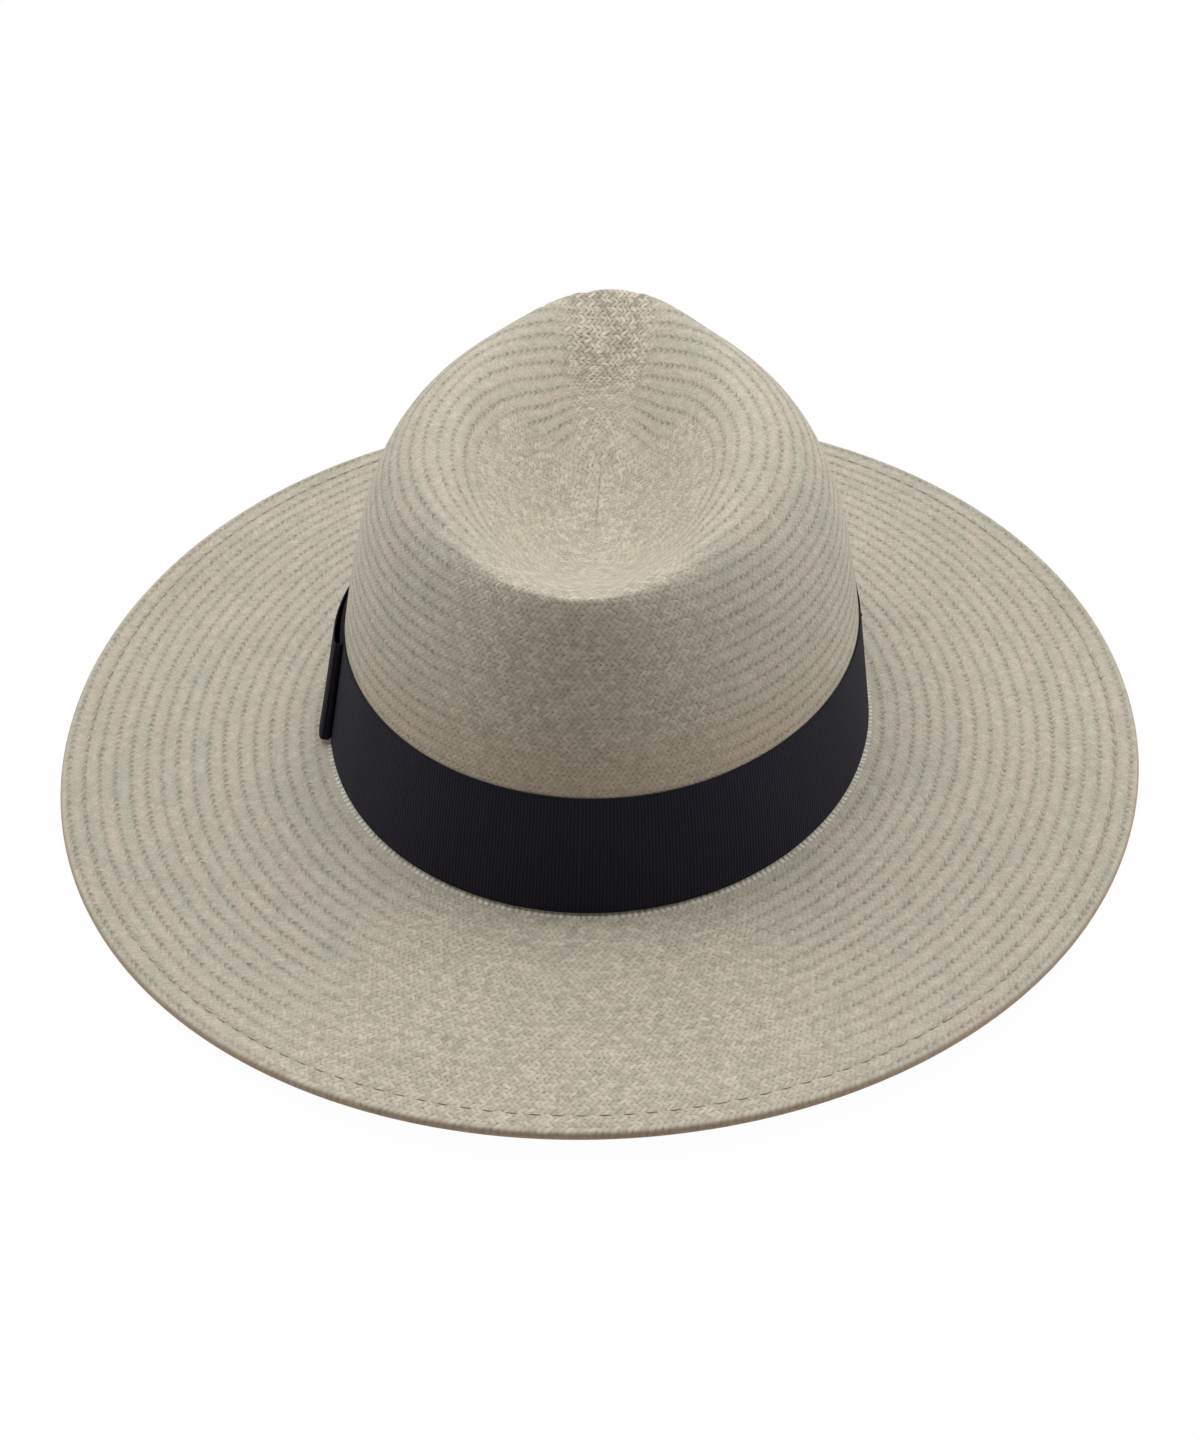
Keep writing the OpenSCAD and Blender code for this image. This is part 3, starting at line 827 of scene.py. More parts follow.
    def beside_wall(self, turn: Array, height: Array, off: Array) -> Array:
        """A point beside the wall.

        Args:
            turn: Angles round the hat.
            height: Heights over the floor.
            off: Distances outside the straw.

        Returns:
            The points.
        """
        turn, height, off = np.broadcast_arrays(turn, height, off)
        lean = self.by_turn((self.side_lean, self.end_lean, self.end_lean), turn)
        up = np.stack([0 * turn, 0 * turn, lean], -1)
        return self.wall(turn, self.wall_share(turn, height)) + off[..., None] * unit(self.outward(turn) + up)


# ---------------------------------------------------------------- modelling tools


class Bench:
    """Modelling steps that the pieces share, all with Blender's operators."""

    @staticmethod
    def clear_selection() -> None:
        """Deselects everything, so that an operator acts on the new piece alone."""
        bpy.ops.object.select_all(action="DESELECT")

    @staticmethod
    def select(*pieces: bpy.types.Object) -> None:
        """Selects pieces, the last one active."""
        Bench.clear_selection()
        for piece in pieces:
            piece.select_set(True)
        bpy.context.view_layer.objects.active = pieces[-1]

    @staticmethod
    def lattice(name: str, points: Array, chart: Array) -> bpy.types.Object:
        """A grid primitive shaped to points.

        Args:
            name: The piece's name.
            points: Rows, columns and coordinates in millimetres; a closed direction repeats its first line.
            chart: For each row of faces, its two rows of points and each column, the two chart coordinates.

        Returns:
            The piece.
        """
        rows, columns = points.shape[:2]
        Bench.clear_selection()
        bpy.ops.mesh.primitive_grid_add(
            x_subdivisions=columns - 1, y_subdivisions=rows - 1, size=1, calc_uvs=True
        )
        piece = bpy.context.object
        piece.name = piece.data.name = name
        mesh = piece.data
        mesh.vertices.foreach_set("co", (points * MM).astype(np.float32).ravel())
        corners = np.empty(len(mesh.loops), dtype=np.int64)
        mesh.loops.foreach_get("vertex_index", corners)
        row, column = np.divmod(corners.reshape(-1, 4), columns)
        band = row.min(axis=1, keepdims=True)
        layer = mesh.uv_layers[0]
        layer.name = CHART
        layer.data.foreach_set("uv", chart[band, row - band, column].astype(np.float32).ravel())
        mesh.update()
        Bench.weld(piece)
        return piece

    @staticmethod
    def weld(piece: bpy.types.Object) -> None:
        """Merges doubled points and points the faces outwards."""
        Bench.select(piece)
        bpy.ops.object.mode_set(mode="EDIT")
        bpy.ops.mesh.select_all(action="SELECT")
        bpy.ops.mesh.remove_doubles(threshold=2e-6)
        bpy.ops.mesh.select_all(action="SELECT")
        bpy.ops.mesh.normals_make_consistent(inside=False)
        bpy.ops.object.mode_set(mode="OBJECT")

    @staticmethod
    def smooth(piece: bpy.types.Object, degrees: float = 60.0) -> None:
        """Shades a piece smooth, except over edges sharper than an angle."""
        Bench.select(piece)
        bpy.ops.object.shade_smooth_by_angle(angle=radians(degrees))

    @staticmethod
    def modify(piece: bpy.types.Object, kind: str, settings: dict) -> None:
        """Adds a modifier and applies it.

        Args:
            piece: The piece.
            kind: The modifier's type.
            settings: Its attributes.
        """
        Bench.select(piece)
        made = piece.modifiers.new(kind.title(), kind)
        for key, value in settings.items():
            setattr(made, key, value)
        bpy.ops.object.modifier_apply(modifier=made.name)

    @staticmethod
    def thicken(piece: bpy.types.Object, thickness: float, rounding: float) -> None:
        """Gives a sheet its thickness, half to each side, and rounds its edges.

        Args:
            piece: The sheet.
            thickness: Its thickness in millimetres.
            rounding: The radius of its edges in millimetres.
        """
        Bench.modify(piece, "SOLIDIFY", {"thickness": thickness * MM, "offset": 0.0, "use_even_offset": True})
        Bench.modify(
            piece,
            "BEVEL",
            {"width": rounding * MM, "segments": 2, "limit_method": "ANGLE", "angle_limit": radians(50)},
        )
        Bench.weld(piece)
        Bench.smooth(piece, 50.0)

    @staticmethod
    def stitch_row(name: str, size: tuple[float, float, float], spots: Sequence[Array]) -> bpy.types.Object:
        """Lays stitches on a surface and joins them.

        Args:
            name: The joined piece's name.
            size: A stitch's length, width and height in millimetres.
            spots: For each stitch its place, a point ahead of it and a point beside it.

        Returns:
            The joined piece.
        """
        template = Bench.stitch(*size)
        made = []
        for here, ahead, beside in spots:
            copy = template.copy()
            copy.data = template.data.copy()
            copy.data.transform(seat(here, ahead - here, np.cross(ahead - here, beside - here)))
            bpy.context.collection.objects.link(copy)
            made.append(copy)
        bpy.data.objects.remove(template, do_unlink=True)
        Bench.select(*made)
        bpy.ops.object.join()
        piece = bpy.context.object
        piece.name = piece.data.name = name
        return piece

    @staticmethod
    def stitch(length: float, width: float, height: float) -> bpy.types.Object:
        """One stitch: a rounded bar of thread that dives at both ends, along x and with z up.

        Args:
            length: Its length in millimetres.
            width: Its width in millimetres.
            height: Its height over the surface in millimetres.

        Returns:
            The stitch.
        """
        Bench.clear_selection()
        bpy.ops.mesh.primitive_uv_sphere_add(segments=8, ring_count=6, radius=0.5, rotation=(0, pi / 2, 0))
        piece = bpy.context.object
        bpy.ops.object.transform_apply(location=True, rotation=True, scale=True)
        bpy.ops.object.mode_set(mode="EDIT")
        bpy.ops.mesh.select_all(action="SELECT")
        bpy.ops.transform.resize(value=(length * MM, width * MM, height * MM))
        bpy.ops.transform.translate(value=(0, 0, height * 0.42 * MM))
        bpy.ops.object.mode_set(mode="OBJECT")
        bpy.ops.object.shade_smooth()
        return piece


def seat(point: Array, tangent: Array, normal: Array) -> Matrix:
    """The place of something that lies on a surface.

    Args:
        point: Where it lies, in millimetres.
        tangent: The direction of its x axis.
        normal: The surface's direction.

    Returns:
        The matrix, in metres.
    """
    x, z = Vector(tangent).normalized(), Vector(normal).normalized()
    y = z.cross(x).normalized()
    x = y.cross(z).normalized()
    p = Vector(point) * MM
    return Matrix(((x.x, y.x, z.x, p.x), (x.y, y.y, z.y, p.y), (x.z, y.z, z.z, p.z), (0, 0, 0, 1)))


def turns(count: int) -> Array:
    """Angles all round the hat, with the first one repeated at the end."""
    return np.linspace(0.0, 2 * pi, count + 1)


def millimetre_chart(points: Array) -> Array:
    """A chart in millimetres along the columns and rows of a sheet.

    Args:
        points: The sheet's points.

    Returns:
        The chart, in the form that Bench.lattice takes.
    """
    rows, columns = points.shape[:2]
    u = runs(points[rows // 2][:, None])[:, 0]
    v = runs(points[:, columns // 2 : columns // 2 + 1])[:, 0]
    flat = np.stack(np.broadcast_arrays(u[None, :], v[:, None]), -1)
    return np.stack([flat[:-1], flat[1:]], axis=1)


@dataclass
class SubAssembly:
    """A group of pieces that are built together."""

    form: HatForm

    def keep(self, piece: bpy.types.Object, finish: Finish, *nodes: str) -> None:
        """Finishes a piece, hangs it on the root and hides the CAD nodes that it stands for.

        Args:
            piece: The piece.
            finish: Its finish.
            nodes: The CAD nodes that it replaces.
        """
        finish.dress(piece)
        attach(piece, "root")
        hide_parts(*nodes)
        mesh = piece.data
        mesh.calc_loop_triangles()
        log.info("%s: %d triangles, %s", piece.name, len(mesh.loop_triangles), finish.name)


# ---------------------------------------------------------------- straw


@dataclass
class StrawBody(SubAssembly):
    """Crown and brim of woven straw, with a groove between the rings of the weave."""

    crown_rings: float = CROWN_RINGS
    brim_rings: float = BRIM_RINGS
    split_ring: float = 38.75
    crown_columns: int = 320
    brim_columns: int = 480
    strand_pitch: float = 1.9
    phases: tuple[float, ...] = (0.0, 0.14, 0.34, 0.66, 0.86)
    groove: float = 0.07
    groove_w: float = 0.21
    ridge: float = 0.02
    oval: float = 0.67
    plain_rings: float = 6.0
    bend_ring: float = 0.19
    fold_ring: float = 0.28
    seam_dip: float = 0.14
    seam_spread: float = 1.3
    hem_ring_w: float = 5.6
    ring_groups: tuple[float, ...] = (0, 1, 2, 3, 4, 6, 8, 11, 16, 22, 28, 39, 44, 50, 56.5)

    def relief(self, ring: Array, points: Array) -> Array:
        """Height of the ribbed surface over the smooth one; the grooves are deepest at the sides.

        Args:
            ring: The ring coordinate of each row of points.
            points: The rows of points.

        Returns:
            The height at each point.
        """
        phase = ring % 1.0
        near = np.minimum(phase, 1 - phase)
        x, y = points[..., 0], points[..., 1]
        sideways = np.abs(x) / np.sqrt(x * x + self.oval * y * y + 1.0)
        depth = self.groove * (0.25 + 0.75 * np.clip((sideways - 0.3) / 0.35, 0, 1))
        depth = depth * np.clip((ring - self.plain_rings) / 6.0, 0, 1)[..., None]
        return self.ridge - (depth + self.ridge) * np.exp(-((near / self.groove_w) ** 2))[..., None]

    def ring_rows(self, first: float, last: float) -> Array:
        """Ring coordinates of the rows between two values, five to a ring."""
        grid = (np.arange(int(first), int(last) + 1)[:, None] + np.array(self.phases)).ravel()
        inside = grid[(grid > first + 1e-6) & (grid < last - 0.02)]
        return np.concatenate([[first], inside, [last]])

    def strand_counts(self, rings: Array, lengths: Array) -> Array:
        """Number of strands round each row of faces, even within a group of rings.

        Args:
            rings: The ring coordinate of each row of points.
            lengths: The length round each row of points.

        Returns:
            The number for each row of faces.
        """
        middle = (rings[:-1] + rings[1:]) / 2
        edges = np.array(self.ring_groups, dtype=float)
        group = np.clip(np.searchsorted(edges, middle, side="right") - 1, 0, len(edges) - 2)
        centre = (edges[group] + edges[group + 1]) / 2
        order = np.argsort(rings)
        length = np.interp(centre, rings[order], lengths[order])
        return np.maximum(np.round(length / self.strand_pitch), 4)

    def weave_chart(self, points: Array, rings: Array) -> Array:
        """The chart of a woven surface: strands along the rings and rings across.

        Args:
            points: The surface's points.
            rings: The ring coordinate of each row of points.

        Returns:
            The chart, in the form that Bench.lattice takes.
        """
        run = runs(points.swapaxes(0, 1)).T
        share = run / np.maximum(run[:, -1:], 1e-6)
        share[run[:, -1] < 1e-3] = share[np.argmax(run[:, -1] > 1e-3)]
        counts = self.strand_counts(rings, run[:, -1])[:, None]
        level = np.broadcast_to(rings[:, None], share.shape)
        low = np.stack([share[:-1] * counts, level[:-1]], -1)
        high = np.stack([share[1:] * counts, level[1:]], -1)
        return np.stack([low, high], axis=1)

    @staticmethod
    def normals(points: Array) -> Array:
        """Outward normals of a surface whose columns close on themselves."""
        around = np.roll(points[:, :-1], -1, axis=1) - np.roll(points[:, :-1], 1, axis=1)
        around = np.concatenate([around, around[:, :1]], axis=1)
        down = np.gradient(points, axis=0)
        made = unit(np.cross(around, down))
        flat = np.linalg.norm(np.cross(around, down), axis=-1) < 1e-9
        made[flat] = (0, 0, 1)
        return made

    def meridians(self, turn: Array) -> Array:
        """Close points of the crown's smooth outer side, from the middle of the weave to the foot."""
        dent = [self.form.dent(turn, np.full(turn.shape, r)) for r in np.linspace(0, 1, 100)]
        wall = [self.form.wall(turn, np.full(turn.shape, t)) for t in np.linspace(1, 0, 100)[1:]]
        return np.array(dent + wall)

    def crown_surface(self, rings: Array) -> Array:
        """The crown's smooth outer side at ring coordinates, even along each meridian."""
        dense = self.meridians(turns(self.crown_columns))
        return resample(dense, rings[:, None] / self.crown_rings * runs(dense)[-1])

    def build_crown(self) -> None:
        """Models the crown down to the line behind the ribbon where the brim begins."""
        fine = self.ring_rows(0.0, self.split_ring)
        coarse = np.concatenate([np.arange(0, self.split_ring, 0.5), [self.split_ring]])
        outer = self.crown_surface(fine)
        fade = np.clip(fine / 1.5, 0, 1) * (np.abs(fine - self.split_ring) > 1e-6)
        ribbed = outer + self.normals(outer) * (self.relief(fine, outer) * fade[:, None])[..., None]
        smooth = self.crown_surface(coarse)
        inner = smooth - self.normals(smooth) * self.form.straw_t
        ribbed[0], inner[0] = ribbed[0, 0], inner[0, 0]
        points = np.concatenate([ribbed, inner[::-1]])
        rings = np.concatenate([fine, coarse[::-1]])
        piece = Bench.lattice("straw_crown", points, self.weave_chart(points, rings))
        Bench.smooth(piece)
        self.keep(piece, STRAW, "straw_body")

    def brim_rows(self) -> tuple[list[Array], list[float]]:
        """Rows of the brim's closed section, from the wall over the edge's fold back to the wall.

        Returns:
            The rows of points and their ring coordinates.
        """
        f, turn = self.form, turns(self.brim_columns)
        width, out = f.brim_w(turn), f.outward(turn)
        up = np.array([0.0, 0.0, 1.0])
        rows: list[Array] = []
        rings: list[float] = []

        def add(points: Array, ring: float) -> None:
            """Adds one row."""
            rows.append(points)
            rings.append(ring)

        wall = self.split_wall(turn)
        add(wall, self.split_ring)
        add(f.foot(turn) + up * f.wall_foot_z, self.crown_rings - 0.02)
        for angle in np.radians([30, 60]):
            bend = f.foot_bend_r * (1 - cos(angle)) * out + up * (f.wall_foot_z - f.foot_bend_r * sin(angle))
            add(f.foot(turn) + bend, self.crown_rings + 0.1 * sin(angle))
        fold_share = 1 - f.edge_r / width
        last = self.crown_rings + self.brim_rings
        first, fold = self.crown_rings + self.bend_ring, last - self.fold_ring
        for ring in self.ring_rows(first, fold):
            share = lerp(f.foot_bend_r / width, fold_share, (ring - first) / (fold - first))
            dip = self.seam_dip * np.exp(-(((1 - share) * width - f.seam_inset) / self.seam_spread) ** 2)
            line = f.brim_top(turn, share * width)
            lift = self.relief(np.array(ring), line) * min(1.0, (fold - ring) / 0.5) - dip
            add(line + lift[..., None] * up, ring)
        for angle in np.radians(np.arange(20, 181, 20)):
            ring = fold + 0.30 * angle / pi
            add(f.edge_point(turn, f.edge_r * (1 - sin(angle)), f.edge_r * (1 - cos(angle))), ring)
        insets = (2.5, 4.5, 6.5, f.hem_w)
        for inset, above in [(w, 0.0) for w in insets] + [(w, f.straw_t) for w in insets[::-1]]:
            closing = (inset - f.edge_r) / (f.hem_w - f.edge_r)
            drop = lerp(2 * f.edge_r, 2 * f.straw_t + f.hem_gap, closing) - above
            add(f.edge_point(turn, inset, drop), last - 0.3 - (inset - insets[0]) / self.hem_ring_w)
        for angle in np.radians(np.arange(180, -1, -30)):
            inset = f.edge_r - f.hem_channel_r * sin(angle)
            add(f.edge_point(turn, inset, f.edge_r - f.hem_channel_r * cos(angle)), last - 0.29)
        for ring in np.linspace(last - 0.45, self.crown_rings + 0.5, 30):
            share = (ring - self.crown_rings) / self.brim_rings
            add(f.edge_point(turn, (1 - share) * width, f.straw_t), ring)
        for angle in np.radians([90, 60, 30]):
            radius = f.foot_bend_r + f.straw_t
            bend = (f.foot_bend_r - radius * cos(angle)) * out + up * (f.wall_foot_z - radius * sin(angle))
            add(f.foot(turn) + bend, self.crown_rings + 0.1)
        add(f.foot(turn) - out * f.straw_t + up * f.wall_foot_z, self.crown_rings)
        add(wall - out * f.straw_t, self.split_ring)
        add(wall, self.split_ring)
        return rows, rings

    def split_wall(self, turn: Array) -> Array:
        """The line on the wall where crown and brim meet, behind the ribbon."""
        wall = np.array([self.form.wall(turn, np.full(turn.shape, s)) for s in np.linspace(0, 0.03, 7)])
        whole = runs(self.meridians(turn))[-1]
        height = whole * (self.crown_rings - self.split_ring) / self.crown_rings
        return resample(wall, height[None, :])[0]

    def build_brim(self) -> None:
        """Models the brim with the fold and hem at its edge."""
        rows, rings = self.brim_rows()
        points = np.array(rows)
        points[:, -1] = points[:, 0]
        piece = Bench.lattice("straw_brim", points, self.weave_chart(points, np.array(rings)))
        Bench.smooth(piece)
        self.keep(piece, STRAW, "straw_body")

    def build(self) -> None:
        """Models crown and brim."""
        self.build_crown()
        self.build_brim()


@dataclass
class Hem(SubAssembly):
    """The rod in the brim's fold and the stitches that hold the fold down."""

    rod_r: float = 0.4
    stitch_count: int = 180
    stitch_size: tuple[float, float, float] = (3.4, 0.55, 0.32)
    stitch_drop: float = 0.10

    def build(self) -> None:
        """Models the rod and the stitches."""
        f = self.form

        def middle(turn: Array) -> Array:
            """The rod's middle line, along the middle of the fold."""
            return f.edge_point(turn, np.full(turn.shape, f.edge_r), f.edge_r)

        self.keep(tube_round("brim_rod", middle, f, self.rod_r, 480), ROD, "brim_reed")
        inset = np.array([0.0, 0.0, 1.0]) + f.seam_inset
        spots = []
        for number in range(self.stitch_count):
            turn = np.array([0.0, -0.01, 0.0]) + 2 * pi * number / self.stitch_count
            spots.append(f.edge_point(turn, inset, self.stitch_drop))
        self.keep(Bench.stitch_row("hem_stitching", self.stitch_size, spots), HEM_THREAD, "hem_stitches")


def tube_round(
    name: str, middle: Callable[[Array], Array], form: HatForm, radius: float, columns: int
) -> bpy.types.Object:
    """A round rod that goes all round the hat.

    Args:
        name: The piece's name.
        middle: Gives the rod's middle line for angles round the hat.
        form: The hat's form.
        radius: The rod's radius in millimetres.
        columns: Steps round the hat.

    Returns:
        The rod.
    """
    turn = turns(columns)
    line, out = middle(turn), form.outward(turn)
    up = np.array([0.0, 0.0, 1.0])
    rows = [line + radius * (cos(a) * out + sin(a) * up) for a in np.linspace(0, 2 * pi, 11)]
    points = np.array(rows)
    points[-1], points[:, -1] = points[0], points[:, 0]
    piece = Bench.lattice(name, points, millimetre_chart(points))
    Bench.smooth(piece)
    return piece


# ---------------------------------------------------------------- ribbon and bow


class Side(Enum):
    """The two directions in which a wing of the bow lies."""

    REAR = 1
    FRONT = -1


@dataclass
class RibbonAndBow(SubAssembly):
    """The ribbon round the crown, its tacks, and the flat bow at the wearer's left."""

    low_z: float = 11.7
    ribbon_h: float = 38.0
    ribbon_t: float = 0.5
    ribbon_gap: float = 0.1
    bow_turn: float = 108.0
    rear_wing_len: float = 55.0
    front_wing_len: float = 46.0
    wing_margin: float = 0.8
    knot_margin: float = 6.5
    knot_overlap: float = 1.4
    wing_root: float = 2.0
    rear_puff: tuple[float, float] = (3.5, 2.8)
    front_puff: tuple[float, float] = (3.6, 2.8)
    fullness: float = 0.45
    knot_w: float = 13.0
    knot_dome: float = 0.5
    bow_gap: float = 0.1
    tack_count: int = 8
    tack_inset: float = 1.6
    tack_size: tuple[float, float, float] = (2.2, 0.4, 0.35)

    @property
    def high_z(self) -> float:
        """Height of the ribbon's upper edge."""
        return self.low_z + self.ribbon_h

    @property
    def outside(self) -> float:
        """Distance of the ribbon's outer side from the straw."""
        return self.ribbon_gap + self.ribbon_t

    @property
    def under_off(self) -> float:
        """Distance of a wing's under layer from the ribbon."""
        return self.ribbon_t / 2 + self.bow_gap

    @property
    def upper_off(self) -> float:
        """Distance of a wing's upper layer from the ribbon, at the knot."""
        return self.ribbon_t * 1.5 + 2 * self.bow_gap

    def bow_point(self, along: Array, height: Array, off: Array) -> Array:
        """A point of the bow: so far from the knot towards the back, at a height, outside the ribbon."""
        turn = radians(self.bow_turn) - np.asarray(along) / self.form.foot_half_length
        return self.form.beside_wall(turn, height, self.outside + np.asarray(off))

    def build_ribbon(self) -> None:
        """Models the ribbon as one sheet that lies slightly unevenly on the straw."""
        turn = turns(400)[None, :]
        share = np.linspace(0, 1, 15)[:, None]
        wobble = 0.05 * np.sin(7 * turn + 2 * share) + 0.04 * np.sin(19 * turn + 1.0) * share
        height = lerp(self.low_z, self.high_z, share) + 0.10 * np.sin(5 * turn) * (2 * share - 1)
        gap = self.ribbon_gap + self.ribbon_t / 2 + np.abs(wobble) + 0 * share
        points = self.form.beside_wall(turn, height, gap)
        points[:, -1] = points[:, 0]
        piece = Bench.lattice("grosgrain_band", points, millimetre_chart(points))
        Bench.thicken(piece, self.ribbon_t, 0.2)
        self.keep(piece, GROSGRAIN, "ribbon_band")

    def build_tacks(self) -> None:
        """Models the thread bars near the ribbon's upper edge."""
        height = self.high_z - self.tack_inset + np.array([0, 0, 1.0])
        spots = []
        for number in range(1, self.tack_count + 1):
            turn = radians(self.bow_turn) + 2 * pi * number / (self.tack_count + 1) + np.array([0, -0.01, 0])
            spots.append(self.form.beside_wall(turn, height, self.outside + 0.05))
        self.keep(Bench.stitch_row("tack_threads", self.tack_size, spots), BLACK_THREAD, "ribbon_tacks")

    def wing_line(self, reach: float, puff: float) -> Array:
        """Middle line of a wing: under layer to the fold, then back over the puff to the knot.

        Args:
            reach: How long the wing is, from the middle of the knot.
            puff: How far the wing stands out.

        Returns:
            Points of distance from the knot and distance from the ribbon.
        """
        under = [(s, self.under_off) for s in np.linspace(self.wing_root, reach - 0.8, 20)]
        upper = []
        for q in np.linspace(0, 1, 44) ** 1.6:
            along = lerp(reach, self.knot_w / 2, 1 - cos(pi / 2 * q))
            rise = (puff - self.upper_off) * sin(pi * q**self.fullness)
            upper.append((along, self.upper_off + rise))
        return np.array(under + upper + [(self.wing_root, self.upper_off)])

    def build_wing(
        self, name: str, node: str, reach: float, puff: tuple[float, float], side: Side
    ) -> None:
        """Models one wing from a folded length of ribbon.

        Args:
            name: The piece's name.
            node: The CAD node it stands for.
            reach: How long it is, from the middle of the knot.
            puff: How far it stands out at its lower and upper edge.
            side: Which way it lies.
        """
        share = np.linspace(0, 1, 15)
        low_line, high_line = self.wing_line(reach, puff[0]), self.wing_line(reach, puff[1])
        lines = np.array([lerp(low_line, high_line, s) for s in share])
        margin = lerp(self.knot_margin, self.wing_margin, np.clip(lines[..., 0] / reach, 0, 1) ** 0.7)
        height = lerp(self.low_z + margin, self.high_z - margin, share[:, None])
        points = self.bow_point(side.value * lines[..., 0], height, lines[..., 1])
        piece = Bench.lattice(name, points, millimetre_chart(points))
        Bench.thicken(piece, self.ribbon_t, 0.15)
        self.keep(piece, GROSGRAIN, node)

    def build_knot(self) -> None:
        """Models the knot: a short strip, pleated and turned in at its upper and lower edge."""
        crest = self.upper_off + self.ribbon_t / 2 + self.bow_gap + self.ribbon_t / 2
        across = np.linspace(-self.knot_w / 2, self.knot_w / 2, 27)[None, :]
        rows = np.linspace(-1, 1, 29)[:, None]
        margin = self.knot_margin - self.knot_overlap
        height = lerp(self.low_z + margin, self.high_z - margin, rows / 2 + 0.5)
        dome = self.knot_dome * np.cos(pi * across / self.knot_w)
        pleat = 0.16 * np.cos(2 * pi * across / 4.3) * (1 - np.abs(rows) ** 4)
        tuck = 0.7 * np.clip((np.abs(rows) - 0.93) / 0.07, 0, 1) ** 2
        narrow = 1 - 0.05 * (1 - rows**2)
        points = self.bow_point(across * narrow, height, crest + dome + pleat - tuck)
        piece = Bench.lattice("bow_knot_wrap", points, millimetre_chart(points))
        Bench.thicken(piece, self.ribbon_t, 0.15)
        self.keep(piece, GROSGRAIN, "bow_knot")

    def build(self) -> None:
        """Models ribbon, tacks and bow."""
        self.build_ribbon()
        self.build_tacks()
        self.build_wing("bow_rear_loop", "bow_rear_wing", self.rear_wing_len, self.rear_puff, Side.REAR)
        self.build_wing("bow_front_loop", "bow_front_wing", self.front_wing_len, self.front_puff, Side.FRONT)
        self.build_knot()


# ---------------------------------------------------------------- sweatband


